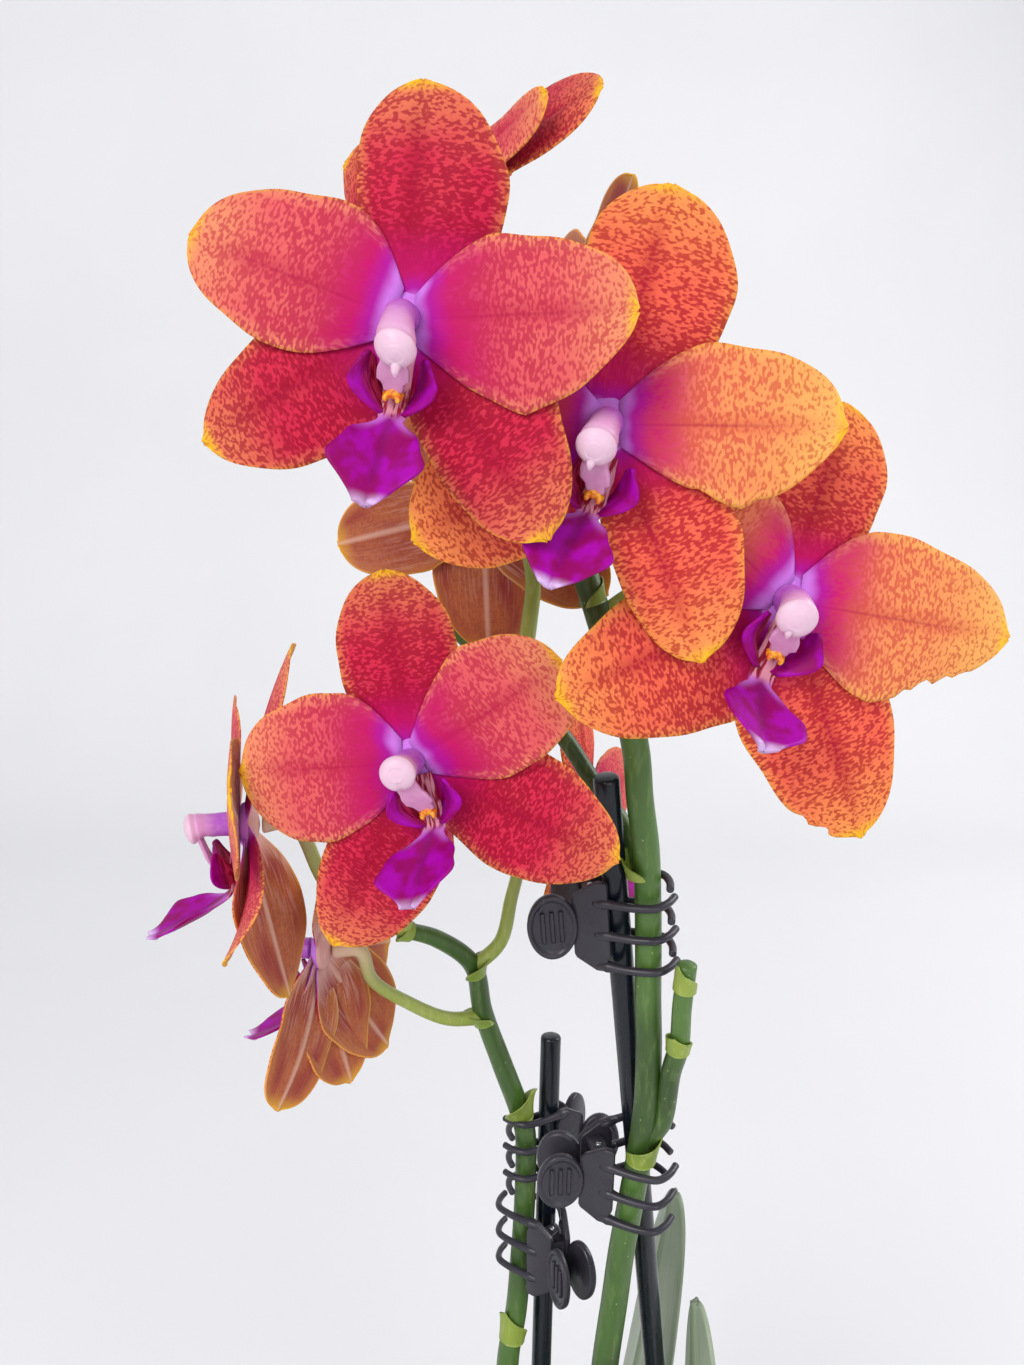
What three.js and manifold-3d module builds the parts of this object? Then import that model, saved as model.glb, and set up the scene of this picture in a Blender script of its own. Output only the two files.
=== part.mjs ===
// Potted moth orchid: two flower spikes tied to canes with sprung claw clips, in a plain ceramic pot.
// Millimetres, +Z up. The origin is the middle of the pot's foot, and the blooms face -Y.

import * as THREE from 'three';
import { mergeVertices } from 'three/addons/utils/BufferGeometryUtils.js';
import Module from 'manifold-3d';

// Pot and what fills it
const POT_HEIGHT = 110;
const FOOT_RADIUS = 41;
const RIM_RADIUS = 60;
const POT_WALL = 3.6;
const POT_FLOOR = 6;
const BARK_TOP = 97;
const BARK_CHIPS = 7;
const SEAT_GAP = 0.3;

// Canes
const CANE_RADIUS = 2.35;
const CANE_1 = { top: [6.5, -25, 343], low: [21.5, 0.5, 203], end: 62 };
const CANE_2 = { top: [-1, 22.5, 267.5], low: [-3, 17.4, 181.5], end: 40 };

// Tepals: a thin blade with its own widest place on each side
const BLADE_THICK = 0.7;
const FORMS = {
  sepal: { rise: 0.85, round: 2.0, claw: 0.28, lean: 2, bend: -8, cup: 0.12, lift: 0 },
  petal: { rise: 1.0, round: 2.3, claw: 0.16, lean: 7, bend: -10, cup: 0.1, lift: 0.8 },
};
const KINDS = ['sepal', 'petal', 'petal', 'sepal', 'sepal'];
const SWEPT = { ...FORMS.sepal, lean: -7, bend: -16 };
const HUB = { radius: 4.4, depth: 2.2, back: 0.8 };

// Each tepal: angle from the top, length, half width on the left and on the right of its
// midrib, and where along it each side is widest. Some end with a twist about the midrib, a
// lean and a bend of their own.
const PLAIN_TEPALS = [
  [0, 33, 10, 10.5, 0.6, 0.55],
  [-78, 31.5, 11, 12, 0.48, 0.42],
  [78, 31.5, 12, 11, 0.42, 0.48],
  [-128, 33, 11, 9.5, 0.42, 0.5],
  [132, 33, 9.5, 11, 0.5, 0.42],
];

// Blooms: middle, compass turn from the front, tilt up, roll, size and tepals. The lip and the
// column also turn by lipTurn and roll by lipRoll, and hang from 0, level with the face, to 1,
// nodding; nod is the column's own where it differs. A swept bloom's sepals lean back.
const BLOOMS = [
  { at: [-24, -60, 415], turn: -8, tilt: 4, roll: 0, size: 0.967, lipRoll: 10, hang: 1,
    tepals: [
      [4, 31.5, 8.5, 12.5, 0.68, 0.52], [-69, 32, 9.5, 11.5, 0.48, 0.36], [89, 31.5, 10.5, 13, 0.42, 0.52],
      [-118, 33.5, 11, 9, 0.36, 0.5], [146, 35, 12, 8, 0.36, 0.6]] },
  { at: [3.5, -52.5, 402], turn: -8, tilt: 2, roll: 0, size: 0.987, lipRoll: 18, hang: 1,
    tepals: [
      [14, 33.5, 9.5, 12.5, 0.7, 0.58], [-86, 27, 9, 9, 0.48, 0.42], [91, 32.5, 11, 11.5, 0.44, 0.6],
      [-120, 33, 11, 10.5, 0.44, 0.54], [157, 36.5, 12, 7, 0.5, 0.6]] },
  { at: [31, -46.5, 376.5], turn: 12, tilt: 2, roll: 0, size: 1.05, lipTurn: -7, lipRoll: 24, hang: 0,
    nod: 1, tepals: [
      [18, 29, 9.5, 10.5, 0.55, 0.6], [-48, 26, 9, 9.5, 0.5, 0.42], [100, 35.5, 12, 13, 0.36, 0.45],
      [-111, 35.5, 14, 9.5, 0.38, 0.4], [158, 39, 11.5, 12.5, 0.36, 0.36]] },
  { at: [-26, -39, 349.5], turn: -8, tilt: 2, roll: 0, size: 1, lipRoll: -14, hang: 0.7,
    tepals: [
      [-9, 31, 10, 10, 0.6, 0.52], [-95, 28.5, 13, 12, 0.56, 0.4], [55, 29.5, 11, 11, 0.6, 0.54],
      [-156, 35.5, 12.5, 8, 0.43, 0.43], [115, 36.5, 11, 10.5, 0.36, 0.6]] },
  { at: [-60, -15.5, 331], turn: -77, tilt: 2, roll: 0, size: 1, lipRoll: 0, hang: 0, swept: true,
    tepals: [
      [0, 35, 8, 8.5, 0.6, 0.55], [-60, 31, 12, 12, 0.48, 0.42], [62, 31, 12, 12, 0.42, 0.48],
      [178, 35, 10, 10, 0.42, 0.5, -35, -11, -4], [148, 26, 9, 9, 0.5, 0.42, 8, -16, 48]] },
  { at: [-49.5, -1, 299.5], turn: -98, tilt: -2, roll: 0, size: 0.95, lipRoll: 0, hang: 0,
    tepals: [
      [0, 21, 7, 7, 0.6, 0.55, 0, -4, -8], [-110, 30, 11, 12, 0.48, 0.42, 0, -10, -14],
      [150, 33, 7.5, 7.5, 0.42, 0.48, 10, -6, 30], [-158, 32, 11, 11, 0.42, 0.5, -20, -15, -8],
      [180, 31, 11, 10, 0.5, 0.42, -30, -5, -8]] },
  { at: [-22, -10, 443], turn: -42, tilt: 16, roll: 69, size: 1, lipRoll: -12, hang: 0,
    tepals: [
      [0, 33, 13, 9, 0.46, 0.5, 22], [-66, 15, 8, 8, 0.48, 0.42, 0, -50, -8],
      [5, 28, 4, 7, 0.42, 0.48, 6, 11, 0.5], [-140, 32, 10, 10, 0.42, 0.5],
      [120, 26, 9, 9, 0.5, 0.42]] },
  { at: [-15.5, -10.4, 389], turn: 172, tilt: 0, roll: 104, size: 0.83, lipRoll: 0, hang: 0.5,
    tepals: PLAIN_TEPALS },
  { at: [2, 14, 422.5], turn: 112, tilt: -12, roll: -33, size: 0.92, lipRoll: 0, hang: 0.5,
    tepals: [
      [0, 33, 10, 10.5, 0.6, 0.55], [-78, 31.5, 11, 12, 0.48, 0.42], [78, 26, 10, 9, 0.42, 0.48],
      [-128, 33, 11, 9.5, 0.42, 0.5], [132, 33, 9.5, 11, 0.5, 0.42]] },
  { at: [6, 14, 322], turn: 66, tilt: 4, roll: 0, size: 0.85, lipRoll: 0, hang: 0.5,
    tepals: PLAIN_TEPALS },
];

// Colours: r, g, b are given as one hex number each
const LOOKS = {
  tepal: { color: 0xd9674a, roughness: 0.55, metalness: 0 },
  lip: { color: 0xa8109c, roughness: 0.5, metalness: 0 },
  column: { color: 0xf2d8ee, roughness: 0.45, metalness: 0 },
  stem: { color: 0x5d7a32, roughness: 0.5, metalness: 0 },
  leaf: { color: 0x86a06e, roughness: 0.45, metalness: 0 },
  cane: { color: 0x15181f, roughness: 0.3, metalness: 0 },
  clip: { color: 0x36353c, roughness: 0.35, metalness: 0 },
  steel: { color: 0xb9bcc0, roughness: 0.3, metalness: 1 },
  pot: { color: 0xe9e7e2, roughness: 0.3, metalness: 0 },
  bark: { color: 0x5b3d28, roughness: 0.9, metalness: 0 },
  root: { color: 0xa9b39a, roughness: 0.7, metalness: 0 },
};

const wasm = await Module();
wasm.setup();

const plant = new THREE.Group();
const UP = new THREE.Vector3(0, 0, 1);
const vec = (a) => new THREE.Vector3(a[0], a[1], a[2]);
const rad = THREE.MathUtils.degToRad;

// Solids and meshes

function solid(geometry) {
  const bare = geometry.index ? geometry.clone() : geometry;
  bare.deleteAttribute('normal');
  bare.deleteAttribute('uv');
  const merged = mergeVertices(bare, 1e-4);
  return new wasm.Manifold(new wasm.Mesh({
    numProp: 3,
    vertProperties: merged.attributes.position.array,
    triVerts: new Uint32Array(merged.index.array),
  }));
}

function join(solids) {
  return wasm.Manifold.union(solids).simplify(0.02);
}

function add(name, body, look) {
  const made = body.getMesh();
  const geometry = new THREE.BufferGeometry();
  geometry.setAttribute('position', new THREE.BufferAttribute(made.vertProperties, 3));
  geometry.setIndex(new THREE.BufferAttribute(made.triVerts, 1));
  geometry.computeVertexNormals();
  const mesh = new THREE.Mesh(geometry, new THREE.MeshStandardMaterial(LOOKS[look]));
  mesh.name = name;
  plant.add(mesh);
}

function indexed(points, faces) {
  const geometry = new THREE.BufferGeometry();
  const places = points.flatMap((p) => [p.x, p.y, p.z]);
  geometry.setAttribute('position', new THREE.Float32BufferAttribute(places, 3));
  geometry.setIndex(faces.flat());
  return geometry;
}

// A blade between two faces: surface(s, t) is its middle, s along it and t across it from -1 to 1
function blade(stations, cols, surface, thickness) {
  const front = [];
  const back = [];
  const step = 0.01;
  for (const s of stations) {
    for (let j = 0; j <= cols; j += 1) {
      const t = -1 + (2 * j) / cols;
      const p = surface(s, t);
      const along = surface(s + step, t).sub(surface(s - step, t));
      const across = surface(s, t + step).sub(surface(s, t - step));
      const normal = across.cross(along).normalize().multiplyScalar(thickness(s, t) / 2);
      front.push(p.clone().add(normal));
      back.push(p.clone().sub(normal));
    }
  }
  const rows = stations.length - 1;
  const wide = cols + 1;
  const all = front.length;
  const faces = [];
  for (let i = 0; i < rows; i += 1) {
    for (let j = 0; j < cols; j += 1) {
      const a = i * wide + j;
      const b = a + 1;
      const c = a + wide;
      const d = c + 1;
      faces.push([a, b, c], [b, d, c], [all + a, all + c, all + b], [all + b, all + c, all + d]);
    }
  }
  const rim = [];
  for (let j = 0; j < cols; j += 1) rim.push(j);
  for (let i = 0; i < rows; i += 1) rim.push(i * wide + cols);
  for (let j = cols; j > 0; j -= 1) rim.push(rows * wide + j);
  for (let i = rows; i > 0; i -= 1) rim.push(i * wide);
  rim.forEach((a, k) => {
    const b = rim[(k + 1) % rim.length];
    faces.push([b, a, all + a], [b, all + a, all + b]);
  });
  return solid(indexed([...front, ...back], faces));
}

// A closed tube through points, with a radius at each; the curve is sampled in equal steps
function tube(points, radii, steps, sides) {
  const curve = new THREE.CatmullRomCurve3(points.map(vec), false, 'centripetal');
  const rings = [];
  let normal = null;
  for (let i = 0; i <= steps; i += 1) {
    const u = i / steps;
    const p = curve.getPoint(u);
    const tangent = curve.getTangent(u);
    if (!normal) normal = new THREE.Vector3(1, 0, 0).cross(tangent).lengthSq() > 0.01
      ? new THREE.Vector3(1, 0, 0) : new THREE.Vector3(0, 1, 0);
    normal = normal.clone().addScaledVector(tangent, -normal.dot(tangent)).normalize();
    const side = tangent.clone().cross(normal);
    const place = u * (radii.length - 1);
    const k = Math.min(Math.floor(place), radii.length - 2);
    const r = THREE.MathUtils.lerp(radii[k], radii[k + 1], place - k);
    for (let j = 0; j < sides; j += 1) {
      const a = (2 * Math.PI * j) / sides;
      rings.push(p.clone().addScaledVector(normal, r * Math.cos(a)).addScaledVector(side, r * Math.sin(a)));
    }
  }
  const faces = [];
  for (let i = 0; i < steps; i += 1) {
    for (let j = 0; j < sides; j += 1) {
      const a = i * sides + j;
      const b = i * sides + ((j + 1) % sides);
      faces.push([a, b, a + sides], [b, b + sides, a + sides]);
    }
  }
  const last = steps * sides;
  for (let j = 1; j < sides - 1; j += 1) {
    faces.push([0, j + 1, j], [last, last + j, last + j + 1]);
  }
  return solid(indexed(rings, faces));
}

// A closed body turned about Z from its outline of radii and heights
function turned(outline, sides) {
  const points = outline.map(([r, z]) => new THREE.Vector2(r, z));
  return solid(new THREE.LatheGeometry(points, sides).rotateX(Math.PI / 2));
}

function placed(geometry, matrix) {
  return solid(geometry.applyMatrix4(matrix));
}

// Blooms

function bloomFrame(bloom) {
  const turn = rad(bloom.turn);
  const tilt = rad(bloom.tilt);
  const face = new THREE.Vector3(
    Math.sin(turn) * Math.cos(tilt), -Math.cos(turn) * Math.cos(tilt), Math.sin(tilt));
  const up = new THREE.Vector3(
    -Math.sin(turn) * Math.sin(tilt), Math.cos(turn) * Math.sin(tilt), Math.cos(tilt));
  const matrix = new THREE.Matrix4().makeBasis(up.clone().cross(face), up, face);
  matrix.multiply(new THREE.Matrix4().makeRotationZ(-rad(bloom.roll)));
  matrix.multiply(new THREE.Matrix4().makeScale(bloom.size, bloom.size, bloom.size));
  return matrix.setPosition(...bloom.at);
}

function tepalWidth(form, s, widest) {
  if (s < widest) {
    return form.claw + (1 - form.claw) * Math.sin((Math.PI / 2) * Math.max(s, 0) / widest) ** form.rise;
  }
  return Math.max(1 - (Math.min((s - widest) / (1 - widest), 1)) ** form.round, 0) ** (1 / form.round);
}

function tepalSurface(form, row) {
  const [angle, length, left, right, widestLeft, widestRight, twist, leanOwn, bendOwn] = row;
  const lean = rad(leanOwn ?? form.lean);
  const bend = rad(bendOwn ?? form.bend);
  const turn = rad(angle);
  return (s, t) => {
    const slope = lean + bend * s;
    const half = t > 0
      ? right * tepalWidth(form, s, widestRight)
      : left * tepalWidth(form, s, widestLeft);
    const wring = rad(twist ?? 0) * Math.sin((Math.PI / 2) * THREE.MathUtils.clamp(2.5 * s, 0, 1));
    const drop = form.cup * half * t * t - half * t * Math.sin(wring);
    const out = (length / bend) * (Math.sin(slope) - Math.sin(lean)) + Math.sin(slope) * drop;
    const fore = (-length / bend) * (Math.cos(slope) - Math.cos(lean)) - Math.cos(slope) * drop;
    const side = half * t * Math.cos(wring);
    return new THREE.Vector3(
      out * Math.sin(turn) + side * Math.cos(turn),
      out * Math.cos(turn) - side * Math.sin(turn),
      fore + form.lift);
  };
}

const tepalForm = (bloom, i) => (bloom.swept && KINDS[i] === 'sepal' ? SWEPT : FORMS[KINDS[i]]);

// The blooms in front have a finer blade than those behind them
const FULL_BLOOMS = 5;
const FINE_BLADE = { stations: [0.08, 0.3, 0.52, 0.75, 0.92, 0.99], cols: 4, fit: 0.17 };
const PLAIN_BLADE = { stations: [0.08, 0.35, 0.62, 0.86, 0.98], cols: 2, fit: 0.3 };

function tepals(bloom, { stations, cols, fit }) {
  const hub = new THREE.SphereGeometry(HUB.radius, 7, 4).rotateX(Math.PI / 2);
  hub.scale(1, 1, HUB.depth / HUB.radius).translate(0, 0, -HUB.back);
  const parts = bloom.tepals.map((tepal, i) =>
    blade(stations, cols, tepalSurface(tepalForm(bloom, i), tepal), () => BLADE_THICK));
  return join([solid(hub), ...parts]).simplify(fit);
}

// The lip: a narrow claw under the column, two upright side lobes and a trowel-shaped middle
// lobe. Its path and the column's are given level with the face and nodding.
const LIP_LEVEL = [
  [0, -3.0, 1.75], [0, -8.5, 2.2], [0, -13, 2.4], [0, -15.6, 6.2], [0, -18.2, 11.8], [0, -21, 17],
];
const LIP_NODDING = [
  [0, -3.0, 1.75], [0, -8, 2.2], [0, -11.6, 2.8], [0, -15, 5.6], [0, -19.4, 9], [0, -24.4, 12],
];
const LIP_HALF = [1.5, 1.9, 2.0, 5.4, 6.3, 2.2];
const COLUMN_LEVEL = [[0, 0.2, 1.8], [0, 0.5, 4.5], [0, 0.2, 7.5], [0, -0.6, 10], [0, -1.4, 11.2]];
const COLUMN_NODDING = [[0, 0.2, 1.8], [0, 0.3, 4.5], [0, -0.8, 7.2], [0, -2.8, 9.6], [0, -4.2, 10.6]];

function between(level, nodding, hang) {
  return level.map((p, i) => vec(p).lerp(vec(nodding[i]), hang).toArray());
}

function lip(hang) {
  const curve = new THREE.CatmullRomCurve3(between(LIP_LEVEL, LIP_NODDING, hang).map(vec));
  const middle = (s, t) => {
    const place = THREE.MathUtils.clamp(s, 0, 1) * (LIP_HALF.length - 1);
    const k = Math.min(Math.floor(place), LIP_HALF.length - 2);
    const half = THREE.MathUtils.lerp(LIP_HALF[k], LIP_HALF[k + 1], place - k);
    const p = curve.getPoint(THREE.MathUtils.clamp(s, 0, 1));
    return p.add(new THREE.Vector3(half * t, 0.16 * half * t * t, 0));
  };
  const stations = [0.02, 0.3, 0.45, 0.62, 0.8, 0.98];
  const parts = [blade(stations, 2, middle, () => 0.9)];
  for (const hand of [-1, 1]) {
    const lobe = (s, t) => new THREE.Vector3(
      hand * (1.4 + 3.6 * Math.sin((Math.PI / 2) * Math.min(1.5 * s, 1)) - 0.9 * s * s),
      -11 + 8 * s,
      2.7 + 1.9 * s + (0.9 + 1.3 * Math.sin(Math.PI * Math.min(s, 0.95))) * t * hand);
    parts.push(blade([0, 0.33, 0.66, 0.98], 2, lobe, () => 0.8));
  }
  return join(parts).simplify(0.2);
}

function column(hang) {
  return tube(between(COLUMN_LEVEL, COLUMN_NODDING, hang), [2.3, 2.0, 2.3, 2.5, 1.3], 4, 6);
}

BLOOMS.forEach((bloom, i) => {
  const matrix = bloomFrame(bloom);
  const name = `bloom_${i + 1}`;
  const detail = i < FULL_BLOOMS ? FINE_BLADE : PLAIN_BLADE;
  add(`${name}_tepals`, tepals(bloom, detail).transform(matrix.elements), 'tepal');
  const inside = matrix.clone()
    .multiply(new THREE.Matrix4().makeRotationY(rad(bloom.lipTurn ?? 0)))
    .multiply(new THREE.Matrix4().makeRotationZ(-rad(bloom.lipRoll)));
  add(`${name}_lip`, lip(bloom.hang).transform(inside.elements), 'lip');
  add(`${name}_column`, column(bloom.nod ?? bloom.hang).transform(inside.elements), 'column');
});

// Flower spikes

// A bloom's stalk: it leaves the spike through the given points and comes up behind the bloom
function stalk(index, points) {
  const bloom = BLOOMS[index - 1];
  const back = (depth) => new THREE.Vector3(0, 0, -depth).applyMatrix4(bloomFrame(bloom)).toArray();
  const seat = HUB.back + HUB.depth + SEAT_GAP;
  return tube([...points, back(9), back(seat + 0.02)], [1.5, 1.3, 1.25, 1.3, 1.6], 5, 5);
}

// A bract: a short pointed scale that hugs the stem at a node
function bract(at, out, size) {
  const root = vec(at);
  const away = vec(out).normalize();
  const side = away.clone().cross(UP).normalize();
  const lift = side.clone().cross(away);
  const scale = (s, t) => root.clone()
    .addScaledVector(away, size * (0.1 + 0.75 * s - 0.2 * t * t))
    .addScaledVector(side, size * 0.5 * t * (1 - 0.8 * s))
    .addScaledVector(lift, size * (-0.2 + 0.9 * s * s));
  return blade([0, 0.5, 1], 2, scale, () => 0.7);
}

const SPIKE_1 = [
  [5, 1, 104], [6.5, 0, 140], [8.5, -3, 175], [10, -7, 206.5], [11.5, -9.5, 224.5], [12.5, -12, 238.5],
  [14, -13.8, 251.5], [15.3, -16, 264], [16, -18.4, 275.5], [16, -19.6, 287.5], [15.5, -20.5, 298.5],
  [15.2, -21.3, 309], [14.8, -22, 319], [14, -24, 329], [12.5, -25.5, 339], [11.5, -26.5, 348],
  [9, -26, 358.5], [6, -25.5, 367.5], [3, -25.5, 376.5], [-0.5, -25.5, 385], [-5, -26, 396],
  [-10, -27, 407], [-14.5, -27.5, 416], [-17.5, -27, 423],
];
const SPIKE_1_RADII = [3.1, 2.9, 2.6, 2.5, 2.45, 2.4, 2.1, 1.6];
const BRANCH = [[14, -23, 325], [10.5, -18, 331.5], [5, -14.5, 339], [-0.5, -12, 347], [-9.5, -9.5, 356],
  [-19.5, -6, 365], [-23.5, -5.5, 368.5]];
const STUB = [
  [16.5, -17, 267], [19, -19, 272], [20, -22, 284.5], [21, -24, 291], [21, -26, 300], [21.5, -27.5, 309],
];
const SPIKE_2 = [
  [-4, 6, 104], [-7, 8, 128], [-11, 12, 156], [-11, 14, 188], [-9, 15, 201.5], [-8, 16, 213.5], [-7, 17, 230],
  [-7, 18, 246], [-8.5, 18, 252], [-12.5, 16.5, 264.5], [-16.5, 15, 277.5], [-18.5, 12.5, 289.5],
  [-25.5, 7, 298], [-32.5, 1, 303],
];

const spike1 = [
  tube(SPIKE_1, SPIKE_1_RADII, 22, 6),
  tube(BRANCH, [1.9, 1.7, 1.6, 1.4], 7, 6),
  tube(STUB, [1.9, 1.9, 2, 1.9, 1.9], 6, 6),
  tube([[15.3, -16.6, 262], [15.6, -17.2, 268]], [2.9, 3.0], 1, 8),
  tube([[20.8, -23.6, 289.5], [21, -24.8, 294]], [2.4, 2.5], 1, 6),
  stalk(1, [[-12.5, -27.5, 411], [-17, -33, 410.5], [-21.5, -43, 412]]),
  stalk(2, [[0, -25.5, 384], [2.5, -28, 390], [3.5, -36, 398]]),
  stalk(3, [[5, -25.5, 371], [12, -24, 375.5], [21.5, -27.5, 377]]),
  stalk(7, [[-17, -27, 422], [-15.5, -20, 427], [-13.5, -9, 434]]),
  stalk(9, [[-5, -26, 396], [-0.5, -23, 404], [0.5, -9, 416.5]]),
  stalk(8, [[-8.5, -10.5, 356], [-8, -16, 362], [-7, -19.5, 369], [-6.5, -22, 379], [-10, -22, 388]]),
];
add('spike_1', join(spike1), 'stem');

const spike2 = [
  tube(SPIKE_2, [3.0, 2.7, 2.5, 2.45, 2.4, 2.1, 1.7], 16, 6),
  stalk(4, [[-32, 1.5, 302.5], [-32.5, -7, 315], [-30.5, -20, 332]]),
  stalk(5, [[-31.5, 1.5, 302.5], [-39, -4, 308], [-46, -9.5, 317]]),
  stalk(6, [[-16.5, 15, 276], [-24, 11.5, 277.5], [-32.5, 6.5, 284], [-39, 0, 292.5]]),
  stalk(10, [[-18.5, 12.5, 289], [-12.5, 11.5, 295.5], [-10, 10.5, 306.5], [-7, 8, 317.5]]),
  bract([-9.5, 18, 252], [1, -0.2, 0.3], 6),
];
add('spike_2', join(spike2), 'stem');

// Canes

function cane(place) {
  const top = vec(place.top);
  const low = vec(place.low);
  const along = low.clone().sub(top);
  const end = top.clone().addScaledVector(along, (place.end - top.z) / along.z);
  const body = (extra) => {
    const radius = CANE_RADIUS + extra;
    return tube([top.toArray(), end.toArray()], [radius, radius], 1, 12);
  };
  return body;
}

const canes = [cane(CANE_1), cane(CANE_2)];
canes.forEach((body, i) => add(`cane_${i + 1}`, body(0), 'cane'));

// Claw clips: two equal halves on a pin, one turned over, held shut by a coil spring

const CLIP = {
  thick: 1.2, plateOut: 3.25, plateHigh: 18.4, prongRadius: 0.8, prongLevels: [-4.95, 1.65, 8.25],
  lugLevels: [5.2, -4.1], lugThick: 1.4, lugRadius: 1.6, pinRadius: 0.6, pinLong: 14,
  springInner: 0.95, springOuter: 1.7, springLong: 4.8, padAcross: 9.4, padHigh: 13.4, padLean: 28,
};
const PRONG_PATH = [[3, 3.3], [6, 3.6], [10, 3.6], [13.2, 2.8], [14.8, 0.4], [15.4, -2.4]];

// A flat outline in the plane across the pin, made as tall as given from a lower level
function slabOf(outline, level, depth) {
  const shape = new THREE.Shape(outline.map(([x, y]) => new THREE.Vector2(x, y)));
  return solid(new THREE.ExtrudeGeometry(shape, { depth, bevelEnabled: false }).translate(0, 0, level));
}

function clipHalf() {
  const t = CLIP.thick;
  const parts = [];
  // the plate beside the pin, its outline seen from outside, cut away towards the pad
  const plate = new THREE.Shape();
  plate.moveTo(-2.6, -6);
  plate.lineTo(3, -CLIP.plateHigh / 2);
  plate.lineTo(4.4, -CLIP.plateHigh / 2);
  plate.lineTo(4.4, 6);
  plate.lineTo(2.6, CLIP.plateHigh / 2);
  plate.lineTo(-2.6, 6.4);
  const turnUp = new THREE.Matrix4().makeRotationX(Math.PI / 2);
  parts.push(placed(new THREE.ExtrudeGeometry(plate, { depth: t, bevelEnabled: false }),
    new THREE.Matrix4().makeTranslation(0, CLIP.plateOut + t / 2, 0).multiply(turnUp)));
  // prongs
  for (const level of CLIP.prongLevels) {
    const path = PRONG_PATH.map(([x, y]) => [x, y, level]);
    parts.push(tube(path, [CLIP.prongRadius, CLIP.prongRadius * 0.9], 4, 3));
  }
  // lugs round the pin
  const round = [];
  for (let k = 0; k <= 4; k += 1) {
    const a = Math.PI + (Math.PI * k) / 4;
    round.push([CLIP.lugRadius * Math.cos(a), CLIP.lugRadius * Math.sin(a)]);
  }
  for (const level of CLIP.lugLevels) {
    parts.push(slabOf([...round, [1.6, 3], [-1.6, 3]], level, CLIP.lugThick));
  }
  // finger pad, leaning out, with a raised rim and three ribs
  const pad = new THREE.Matrix4().makeTranslation(-1.9, CLIP.plateOut - 0.1, 0)
    .multiply(new THREE.Matrix4().makeRotationZ(-rad(CLIP.padLean)))
    .multiply(new THREE.Matrix4().makeTranslation(-CLIP.padAcross / 2, 0, 0));
  const oval = (scale, low, high) => {
    const disc = new THREE.CylinderGeometry(1, 1, high - low, 8);
    disc.scale((CLIP.padAcross / 2) * scale, 1, (CLIP.padHigh / 2) * scale).translate(0, (low + high) / 2, 0);
    return placed(disc, pad);
  };
  const rib = (x) => placed(new THREE.BoxGeometry(0.7, 0.6, 6.4).translate(x, 0.8, 0), pad);
  const padBody = oval(1, -0.6, 1.1).subtract(oval(0.8, 0.55, 2));
  parts.push(padBody, rib(-1.7), rib(0), rib(1.7));
  const bore = new THREE.CylinderGeometry(CLIP.pinRadius + SEAT_GAP, CLIP.pinRadius + SEAT_GAP, 20, 6);
  return join(parts).subtract(placed(bore, turnUp)).simplify(0.06);
}

const HALF = clipHalf();
const TIP = CLIP.pinLong / 2;
const PIN = tube([[0, 0, -TIP], [0, 0, TIP]], [CLIP.pinRadius, CLIP.pinRadius], 1, 8);
const END = CLIP.springLong / 2;
const SPRING = turned([[CLIP.springInner, -END], [CLIP.springOuter, -END], [CLIP.springOuter, END],
  [CLIP.springInner, END], [CLIP.springInner, -END]], 8);

// Each clip: its pin's middle, the way its prongs point, the way its pin points, how far it stands open
const CLIPS = {
  a: { at: [5.0, -18.0, 314], prongs: [1, -0.37, 0], pin: [-0.08, -0.13, 1], open: 2, front: -1 },
  b: { at: [7.2, -12.2, 257], prongs: [1, -0.02, 0], pin: [0.01, -0.17, 1], open: 21, front: -1 },
  c: { at: [2.5, 23.3, 241], prongs: [-0.86, -0.51, 0], pin: [0.0, 0.06, 1], open: 2, front: 1 },
  d: { at: [-0.9, 11, 219], prongs: [-0.5, 0.87, 0], pin: [0.0, 0.06, 1], open: 22, front: 1 },
};

function clipFrame(clip) {
  const z = vec(clip.pin).normalize();
  const x = vec(clip.prongs).addScaledVector(z, -vec(clip.prongs).dot(z)).normalize();
  return new THREE.Matrix4().makeBasis(x, z.clone().cross(x), z).setPosition(...clip.at);
}

for (const [letter, clip] of Object.entries(CLIPS)) {
  const frame = clipFrame(clip);
  const sides = { 1: new THREE.Matrix4(), [-1]: new THREE.Matrix4().makeRotationX(Math.PI) };
  const half = (side) => HALF.transform(frame.clone()
    .multiply(sides[side])
    .multiply(new THREE.Matrix4().makeRotationZ(rad(clip.open))).elements);
  add(`clip_${letter}_front`, half(clip.front), 'clip');
  add(`clip_${letter}_back`, half(-clip.front), 'clip');
  add(`clip_${letter}_pin`, PIN.transform(frame.elements), 'steel');
  add(`clip_${letter}_spring`, SPRING.transform(frame.elements), 'steel');
}

// Leaves: thick strap blades folded along the midrib

const LEAVES = [
  { path: [[5.6, 8.9, 103], [13, 17, 140], [22, 25, 180], [30.5, 31, 221]],
    across: [-0.25, 1, -0.2], half: 13, fold: 0.18 },
  { path: [[9.9, -0.1, 103], [20.2, -7.4, 135], [29.5, -5.4, 175], [31.5, 4, 213]],
    across: [-0.2, 1, -0.1], half: 12, fold: 0.2 },
  { path: [[-5.0, 3.2, 100.5], [-31, 7, 112], [-58, 19, 117], [-90, 36, 100]],
    across: [0.25, 0.96, 0], half: 20, fold: 0.25 },
  { path: [[-4.4, -1.0, 106], [-32, -15, 133], [-68, -30, 138], [-101, -44, 114]],
    across: [-0.3, 1, 0.1], half: 21, fold: 0.25 },
  { path: [[1, -4.9, 102], [6, -34, 122], [14, -66, 128], [26, -98, 106]],
    across: [-0.95, -0.3, 0], half: 20, fold: 0.25 },
];

const LEAF_FORM = { claw: 0.2, rise: 0.85, round: 2.2 };
const LEAF_WIDEST = 0.56;

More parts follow.
